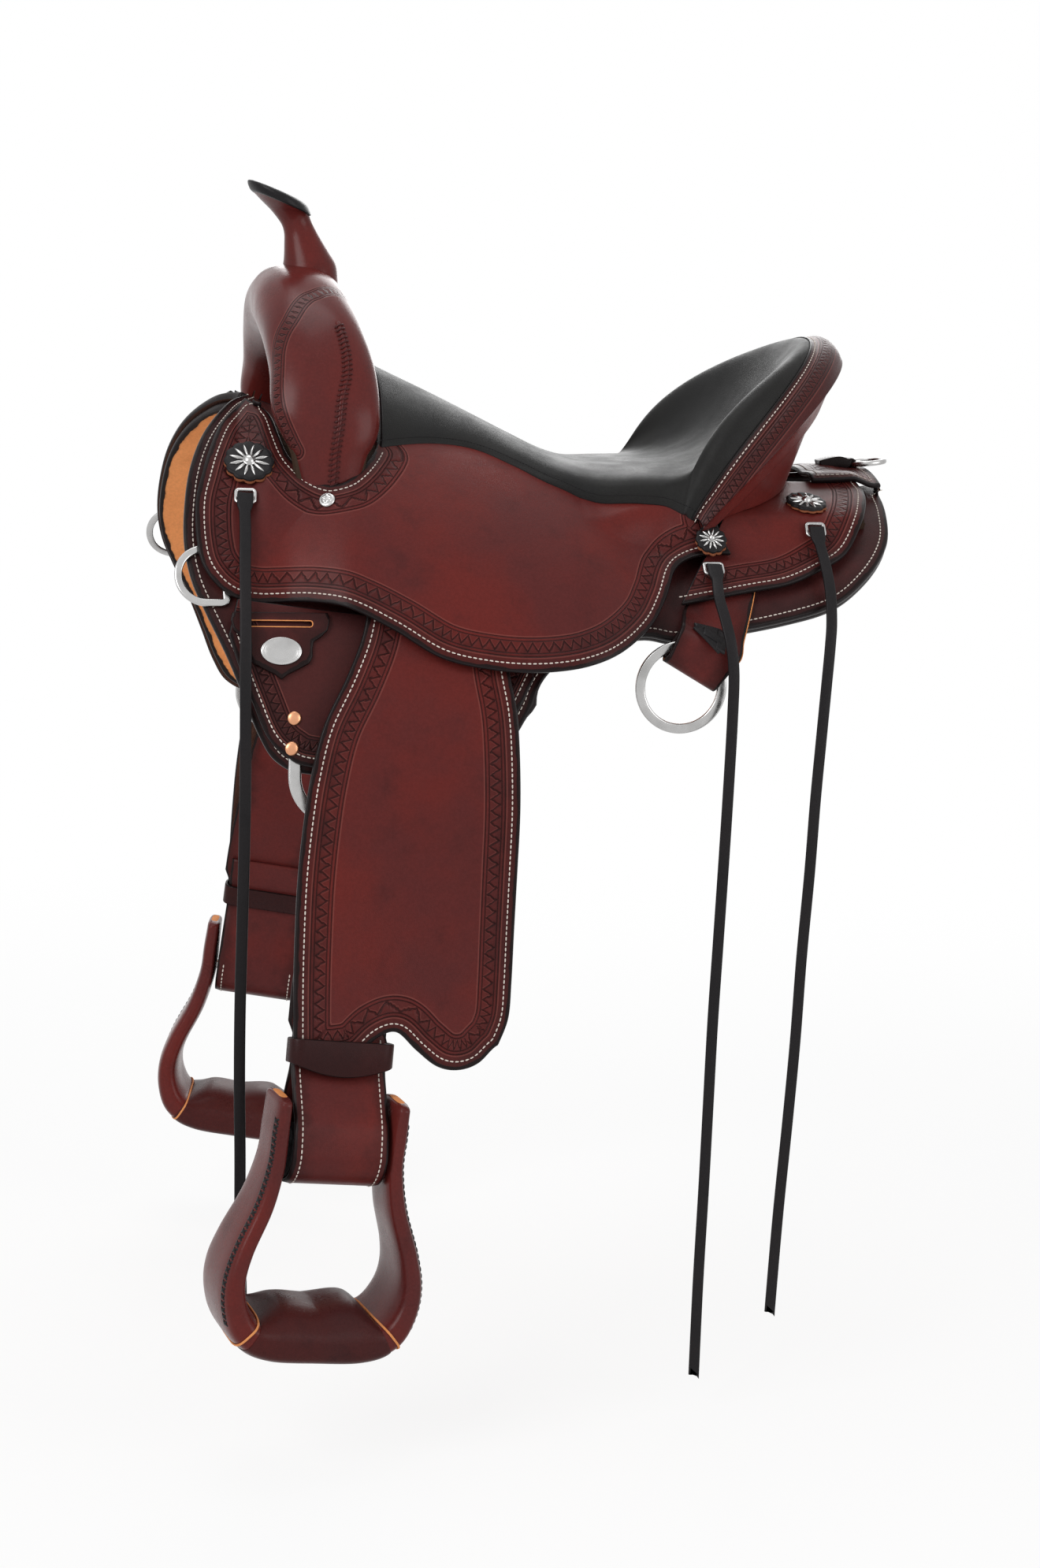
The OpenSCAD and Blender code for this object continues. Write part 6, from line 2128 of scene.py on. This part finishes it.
    def badges(self) -> None:
        """The bare oval badges and the rivets on both sides."""
        metal, copper = Shape(), Shape()
        seat = self.back.on(*self.keeper, self.plate_out())
        steps, middle = 64, np.array([0, self.badge_z])
        oval = circle(1, steps) * self.badge_half + middle
        foot = self.keeper_t + self.back.gap
        points = np.stack([seat.at(mix(middle, oval, r), foot + z) for r, z in self.badge_rows])
        metal.add(points, grid_faces(len(points), steps, wrap=True))
        for p in self.rivets:
            copper.join(lathe(self.back.on(*p, self.plate_out()), self.rivet_dome, 32))
        for shape, finish, slot, name, node in (
            (metal, self.finish.steel, Slot.STEEL, "badge_plates", "keeper_badges"),
            (copper, self.finish.copper, Slot.COPPER, "rivet_domes", "rigging_rivets"),
        ):
            for side in Side:
                place(shape, name, [finish], "saddle", slot, node, side=side)

    def fold(self) -> tuple[float, float, float]:
        """Half the room in the strap's fold, the ring's plane and the fold's height over the ring."""
        inside, reach = self.ring_d / 2 - self.ring_band, self.fold_w / 2 + self.fold_room
        hole = math.sqrt(inside**2 - reach**2)
        pin = (hole + self.ring_d / 2) / 2
        swing, gap = math.radians(self.ring_swing), self.back.gap
        half = (pin - hole) * math.sin(swing) + self.back.dee_t / 2 * math.cos(swing) + 4 * gap
        plane = float(self.back.at(self.ring_x, -60, 0)[1]) - self.strap_t - half - 2 * gap
        return half, plane, hole + half - 3 * gap

    def strap_path(self) -> tuple[Array, Array, Array]:
        """Centre points, side directions and widths of the folded rear strap."""
        half, plane, rise = self.fold()
        r = half + self.strap_t / 2
        lean = math.radians(self.fold_lean)
        slope = np.array([math.cos(lean), 0, -math.sin(lean)])
        off = 3 * self.back.gap + self.strap_t / 2

        def from_ring(up: float, out: float) -> Array:
            """A point up along the strap from the ring's middle and out from its plane."""
            x, z = self.ring_x + up * math.sin(lean), self.ring_z + up * math.cos(lean)
            return np.array([x, plane - out, z])

        path, across = [], []
        for x, z, f in self.strap_flank:
            path.append(mix(self.back.at(x, z, off), np.array([x, plane - r, z]), f))
            ahead = self.back.at(x + 20 * slope[0], z + 20 * slope[2], off)
            behind = self.back.at(x - 20 * slope[0], z - 20 * slope[2], off)
            across.append(unit(mix(ahead - behind, 40 * slope, f)))
        path.append(from_ring(self.ring_d / 2 + 2, r))
        turn = np.radians(np.arange(0, 181, 30))
        path += [from_ring(rise - r * math.sin(a), r * math.cos(a)) for a in turn]
        path += [from_ring(rise + 9, -r), from_ring(rise + 18, 2 - r)]
        across += [slope] * (len(path) - len(across))
        wide = [*self.strap_wide] + [self.fold_w] * (len(path) - len(self.strap_wide))
        u = np.linspace(0, 1, 110)
        return curve(path, u), unit(curve(across, u)), curve(wide, u)

    def rear(self, side: Side) -> None:
        """The folded rear strap with its raw edge and lace, and the ring that turns in it.

        Args:
            side: the side that they lie on.
        """
        line, across, width = self.strap_path()
        up = unit(np.cross(across, tangents(line)))
        cols = np.linspace(-1, 1, 21)
        bulge = np.array([(-0.4, -0.25), (0, 0), (-0.4, 0.25)]) * [1, self.strap_t]
        section = []
        for w in width:
            flat = cols * (w / 2 - 0.9)
            low = np.stack([flat, np.full(len(cols), -self.strap_t / 2)], axis=1)
            high = np.stack([flat[::-1], np.full(len(cols), self.strap_t / 2)], axis=1)
            right = bulge + [w / 2, 0]
            section.append(np.concatenate([low, right, high, -right]))
        edge = 26 * (1 - np.abs(cols))
        shape = sweep(line, across, up, np.array(section), edge=np.r_[edge, 0, 0, 0, edge, 0, 0, 0])
        node = f"rear_strap_{side.tag}"
        place(shape, "rear_strap_leather", [self.finish.oxblood], "saddle", Slot.OXBLOOD, node, side=side)
        face = up * np.where(up[:, 1:2] < 0, 1, -1)
        self.strap_trim(side, line, across, face, width)
        _, plane, _ = self.fold()
        flat = circle((self.ring_d - self.ring_band) / 2, 96)
        axes = np.eye(3)
        seat = Seat3(np.array([self.ring_x, plane, self.ring_z]), axes[0], axes[2], -axes[1])
        ring = self.metal_band(seat, flat, self.ring_band, self.back.dee_t, 0)
        body = f"rear_ring_{side.tag}"
        place(ring, "rear_ring_metal", [self.finish.steel], body, Slot.STEEL, body, side=side)

    def strap_trim(self, side: Side, line: Array, across: Array, face: Array, width: Array) -> None:
        """The raw rear edge of the strap and the black lace knot on its face.

        Args:
            side: the side that they lie on.
            line: centre points of the strap.
            across: its side directions.
            face: its outward directions.
            width: its widths.
        """
        run, knot_at = slice(4, 44), 39
        rim = line[run] + across[run] * (width[run, None] / 2 - 0.2)
        rim = rim + face[run] * (self.strap_t / 2 - 0.9)
        raw = sweep(rim, across[run], face[run], rounded(1.0, 1.4, 0.4, 2))
        place(raw, "rear_strap_edge", [self.finish.raw_edge], "saddle", Slot.OXBLOOD, side=side)
        wide, out = across[knot_at], face[knot_at]
        middle = line[knot_at] + out * self.strap_t / 2 - wide * 2
        seat = Seat3(middle, wide, -tangents(line)[knot_at], out)
        knot = Shape()
        share = np.linspace(0, 1, 9)[:, None]
        rise = 0.4 * np.sin(np.linspace(0, 3.1, 9))
        for start, end, lift, strand_w in self.knot_strands:
            path = seat.at(mix(start, end, share), lift + rise)
            side_way = unit(np.cross(tangents(path), out))
            knot.join(sweep(path, side_way, out, rounded(strand_w, 1.6, 0.7, 3)))
        place(knot, "rear_strap_lace", [self.finish.black], "saddle", Slot.BLACK, side=side)

    def crupper(self) -> None:
        """The crupper ring that lies on the strip, and its tab."""
        box_low, box_high = (np.array(v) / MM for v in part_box("crupper_ring"))
        rise = box_high[2] - box_low[2] - self.crupper_wire
        slope = math.atan2(rise, self.crupper_d - self.crupper_wire)
        centre = (box_low + box_high) / 2
        rear = np.array([math.cos(slope), 0, math.sin(slope)])
        out = np.array([-math.sin(slope), 0, math.cos(slope)])
        seat = Seat3(centre, rear, np.array([0, 1.0, 0]), out)
        mid, wire, node = (self.crupper_d - self.crupper_wire) / 2, self.crupper_wire, "crupper_ring"
        ring = self.metal_band(seat, circle(mid, 72), wire, wire, 0)
        place(ring, "crupper_ring_metal", [self.finish.steel], node, Slot.STEEL, node)
        front = centre - mid * rear
        r = (wire + self.tab_t) / 2 + 2 * self.back.gap
        off = float(self.back.rear_out(0)) + 3 * self.back.gap + self.back.rear_t
        knots = []
        for ahead, lift in self.tab_lead:
            knot = front + (ahead, 0, 0)
            knot[2] = float(self.back.flank(knot[0], 0.0, off)[2]) + self.tab_t / 2 + lift
            knots.append(knot)
        turn = np.radians(np.arange(-25, 181, 40))
        knots += [front + r * (math.sin(b) * rear + math.cos(b) * out) for b in turn]
        knots += [front - 6 * rear - r * out]
        path = curve(knots, np.linspace(0, 1, 70))
        wide = np.array([0, 1.0, 0])
        up = unit(np.cross(tangents(path), wide))
        base = rounded(self.tab_w, self.tab_t, 0.9, 3)
        section, face = repeated(base, len(path)), np.sign(up[0, 2])
        fill = self.tab_fill * (1 - ramp(0.3, 0.42, np.linspace(0, 1, len(path))))
        section[..., 1] -= np.where(section[..., 1] * face < 0, fill[:, None], 0) * face
        tab = sweep(path, wide, up, section, edge=self.tab_w / 2 - np.abs(base[:, 0]))
        place(tab, "crupper_tab_leather", [self.finish.hobble], "saddle", Slot.OXBLOOD, "crupper_tab")

    def build(self) -> None:
        """All the rigging."""
        for side in Side:
            self.dees(side)
            self.keepers(side)
            self.rear(side)
        self.badges()
        self.crupper()


@dataclass
class Conchos:
    """Star conchos on black rosettes, string clips and the jockey screws."""

    back: BackLine
    finish: Finishes
    places: Sequence = ((-280, 67, 20), (94, 6, 20), (185, 34, 8))
    lifts: Sequence = (2.8, 3.8, 0.9)
    sizes: Sequence = (1, 0.66, 0.86)
    clips: Sequence = ((-284, 43, 10), (94, -9, 10), (185, 17, 8))
    clip_skins: Sequence = (0, 2, 2)
    clip_lift: float = 2.2
    screw: tuple[float, float, float] = (-221, 30, 5)
    rosette_d: float = 40
    star_d: float = 32
    rays: int = 12
    clip_size: tuple[float, float] = (18, 14)
    wire: float = 3
    star_dome: Sequence = (
        (0.01, 3.6), (1.4, 3.5), (2.8, 3.0), (3.8, 2.2), (4.4, 1.3), (4.7, 0.9), (5.2, 0.8), (5.4, 0.3),
        (5.4, -0.3),
    )
    ray_rows: Sequence = ((-1, 0.0), (-0.75, 0.8), (0, 1.6), (0.75, 0.8), (1, 0.0))
    rosette_rows: Sequence = (
        (0.01, 2.6), (0.6, 2.7), (0.85, 3.0), (0.94, 2.8), (0.985, 2.2), (1.0, 1.3), (0.985, 0.4),
        (0.9, 0.1),
    )
    backing_rows: Sequence = ((0.7, 0.7), (0.95, 0.7), (1.0, 0.3), (1.0, -0.4), (0.95, -0.8))
    backing_drop: float = 1.7
    screw_r: Sequence = (
        0.01, 0.6, 1.0, 1.4, 1.8, 2.2, 2.6, 3.0, 3.4, 3.8, 4.2, 4.4, 4.8, 5.6, 6.3, 6.5, 6.5,
    )
    screw_dome: Sequence = (
        (0, 3.1), (3, 2.8), (4.2, 2.1), (4.4, 1.5), (4.8, 1.6), (5.6, 1.5), (6.3, 0.9), (6.5, 0.4),
    )
    screw_foot: float = -0.4
    cross_half: tuple[float, float] = (0.75, 3.1)
    cross_depth: float = 1.2

    def skin(self, i: int, x: float, z: float) -> Array:
        """A point on the leather that a piece sits on: 2 is the rear jockey, else the seat jockey."""
        a = self.back.angle(x, z, 12)
        on_rear = self.back.rear_out(a) + self.back.over_bar(x, a)
        return self.back.flank(x, a, on_rear if i == 2 else self.back.jockey_out(x, a))

    def on(self, i: int, p: Sequence, lift: float) -> Seat3:
        """A place on that leather, lifted off it."""
        x, z, r = p
        along = self.skin(i, x + r, z) - self.skin(i, x - r, z)
        up = self.skin(i, x, z + r) - self.skin(i, x, z - r)
        seat = seat_on(self.skin(i, x, z), along, up)
        seat.origin = seat.origin + seat.out * lift
        return seat

    @staticmethod
    def scalloped(seat: Seat3, radius: float, dip: float, rows: Sequence, drop: float = 0) -> Shape:
        """A round of leather with a scalloped edge.

        Args:
            seat: the place that it lies on.
            radius: its radius at the tips of the scallops.
            dip: how deep the notches between them are.
            rows: shares of the radius with their heights.
            drop: how far it lies below the middle of its place.

        Returns:
            The shape.
        """
        steps = 144
        a = np.linspace(0, 2 * math.pi, steps, endpoint=False)
        r = radius - dip * (1 - np.abs(np.cos(6 * a)))
        flat = r[:, None] * circle(1, steps)
        out = Shape()
        points = np.stack([seat.at(flat * k - [0, drop], z) for k, z in rows])
        out.add(points, grid_faces(len(rows), steps, wrap=True))
        return out

    def star(self, seat: Seat3, lift: float, size: float) -> Shape:
        """Thin spear shaped rays round a domed middle."""
        out = Shape()
        steps = np.linspace(0, 1, 9)
        half = 1.35 * size**0.5 * np.sin(math.pi * np.clip(steps * 0.93 + 0.07, 0, 1)) ** 0.7
        run = mix(4.4 * size, size * self.star_d / 2, steps)
        rise = np.sin(math.pi * np.clip(steps * 0.9 + 0.08, 0, 1)) ** 0.5
        for k in range(self.rays):
            a = 2 * math.pi * (k + 0.5) / self.rays
            c, s = np.array([math.cos(a), math.sin(a)]), np.array([-math.sin(a), math.cos(a)])
            rows = [
                seat.at(run[:, None] * c + (half * v)[:, None] * s, lift + z * rise)
                for v, z in self.ray_rows
            ]
            out.add(np.stack(rows, axis=1), grid_faces(len(steps), len(rows)))
        out.join(lathe(seat, [(r * size, z + lift) for r, z in self.star_dome], 40))
        return out

    def screw_head(self) -> Shape:
        """The domed head of a jockey screw, with a cross cut in it."""
        seat = self.on(0, self.screw, 2 * self.back.gap)
        steps, r = 96, np.array(self.screw_r)
        z = np.interp(r, *np.array(self.screw_dome).T)
        z[-1] = self.screw_foot
        flat = r[:, None, None] * circle(1, steps)
        away, (slim, long) = np.abs(flat), self.cross_half
        cross = (away.min(axis=-1) < slim) & (away.max(axis=-1) < long)
        out = Shape()
        points = seat.at(flat, z[:, None] - self.cross_depth * cross)
        out.add(points, grid_faces(len(r), steps, wrap=True))
        return out

    def build(self) -> None:
        """All conchos, clips and screws on both sides."""
        leather, under, metal, clips = Shape(), Shape(), Shape(), Shape()
        for i, (p, lift, size) in enumerate(zip(self.places, self.lifts, self.sizes)):
            seat, radius = self.on(i, p, lift), size * self.rosette_d / 2
            leather.join(self.scalloped(seat, radius, 1.4 * size, self.rosette_rows))
            under.join(self.scalloped(seat, radius, 2.2 * size, self.backing_rows, self.backing_drop))
            metal.join(self.star(seat, 3.0, size))
        w, h = ((v - self.wire) / 2 for v in self.clip_size)
        flat = outline([(-w, h), (-w, -h), (w, -h), (w, h)], [2.2] * 4, 1.0)
        for i, p in zip(self.clip_skins, self.clips):
            seat = self.on(i, p, self.clip_lift)
            clips.join(band(seat, flat, rounded(self.wire, self.wire, 1.2, 3), self.wire / 2))
        steel = self.finish.steel
        for shape, finish, slot, name, *nodes in (
            (leather, self.finish.black, Slot.BLACK, "rosette_leathers", "concho_rosettes"),
            (under, self.finish.backing, Slot.BLACK, "rosette_backings"),
            (metal, steel, Slot.STEEL, "star_metal", "star_conchos"),
            (clips, steel, Slot.STEEL, "clip_wires", "string_clips"),
            (self.screw_head(), steel, Slot.STEEL, "screw_heads", "jockey_screws"),
        ):
            for side in Side:
                place(shape, name, [finish], "saddle", slot, *nodes, side=side)


@dataclass
class Strings:
    """The three flat saddle strings on the near side."""

    conchos: Conchos
    finish: Finishes
    width: float = 9
    thick: float = 3
    ride: float = 0.9
    tab: float = 1.4
    tab_end: tuple[float, float] = (10, 17)
    end_slant: float = 12
    front: Sequence = (
        (-286, -180, 16), (-287, -192, -5), (-287.5, -206, -30), (-288, -219, -60), (-288, -226, -100),
        (-287.5, -227, -140), (-287, -227, -180), (-287, -227, -230), (-287.5, -227, -290),
        (-288, -227, -350), (-287.5, -227, -410), (-286, -227, -470), (-285, -227, -530),
        (-283, -227, -588),
    )
    middle: Sequence = (
        (92, -195, -28), (94.5, -208, -44), (97.5, -217, -62), (100, -221, -85), (100, -223, -120),
        (99, -225, -170), (98, -225, -230), (96.5, -225, -300), (95, -225, -370), (94.5, -225, -440),
        (94, -225, -510), (93, -225, -590), (93, -225, -674),
    )
    rear: Sequence = (
        (187.5, -167, -4), (188, -182, -24), (187, -193, -46), (185, -199, -66), (182.5, -203, -95),
        (179.5, -206, -140), (177, -207, -190), (175, -208, -250), (172, -208, -320), (170, -209, -390),
        (167, -209, -460), (163, -209, -540), (160, -209, -628),
    )

    def string(self, name: str, place_at: int, route: Sequence, node: str) -> None:
        """One string from its clip along its route, with a slanted cut at its end.

        Args:
            name: the string's name.
            place_at: the index of its clip.
            route: its points below the clip.
            node: the node that it replaces.
        """
        conchos = self.conchos
        lift = conchos.clip_lift + conchos.wire + self.ride + self.thick / 2
        seat = conchos.on(conchos.clip_skins[place_at], conchos.clips[place_at], lift)
        below = seat.origin - conchos.clip_size[1] * seat.up
        path = curve([seat.origin, below, *route], np.linspace(0, 1, 160))
        t = tangents(path)
        across = square_to(np.array([1.0, 0, 0]), t)
        up = np.cross(across, t)
        base = rounded(self.width, self.thick, 1.2, 3)
        run = np.cumsum(np.linalg.norm(np.diff(path, axis=0, prepend=path[:1]), axis=1))
        section = repeated(base, len(path))
        section[..., 0] *= mix(self.tab, 1, ramp(*self.tab_end, run))[:, None]
        shape = sweep(path, across, up, section, edge=self.width / 2 - np.abs(base[:, 0]))
        shape.points[-1][-len(base) :] += t[-1] * ((base[:, :1] / self.width - 0.5) * self.end_slant)
        made = place(shape, name, [self.finish.black], "saddle", Slot.BLACK, node)

    def build(self) -> None:
        """All three strings."""
        self.string("front_string", 0, self.front, "string_front_left")
        self.string("middle_string", 1, self.middle, "string_mid_left")
        self.string("rear_string", 2, self.rear, "string_rear_left")


def dress_cad(nodes: dict, record: dict, finish: Finishes) -> None:
    """Gives every CAD node that still shows, and the hidden ones, a procedural finish.

    Args:
        nodes: the frame's objects by node name.
        record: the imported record.
        finish: the saddle's finishes.
    """
    slot_of = {part["node"]: part["material_slot"] for part in record["subparts"]}
    for name, made in nodes.items():
        made.data.materials.clear()
        made.data.materials.append(finish.by_slot[Slot(slot_of[name])])


def main() -> None:
    """Builds the studio and every piece in order."""
    logging.basicConfig(level=logging.INFO, format="%(message)s")
    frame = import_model()
    finish = Finishes()
    Studio().build()
    back = BackLine()
    conchos = Conchos(back, finish)
    Strings(conchos, finish).build()
    dress_cad(frame["nodes"], frame["record"], finish)
    SideLeathers(back, finish).build()
    Fork(back, finish).build()
    Seat(back, finish).build()
    fender = Fender(back, Hang(back), finish)
    fender.build()
    Stirrup(fender, finish).build()
    Rigging(back, finish).build()
    conchos.build()


if __name__ == "__main__":
    main()
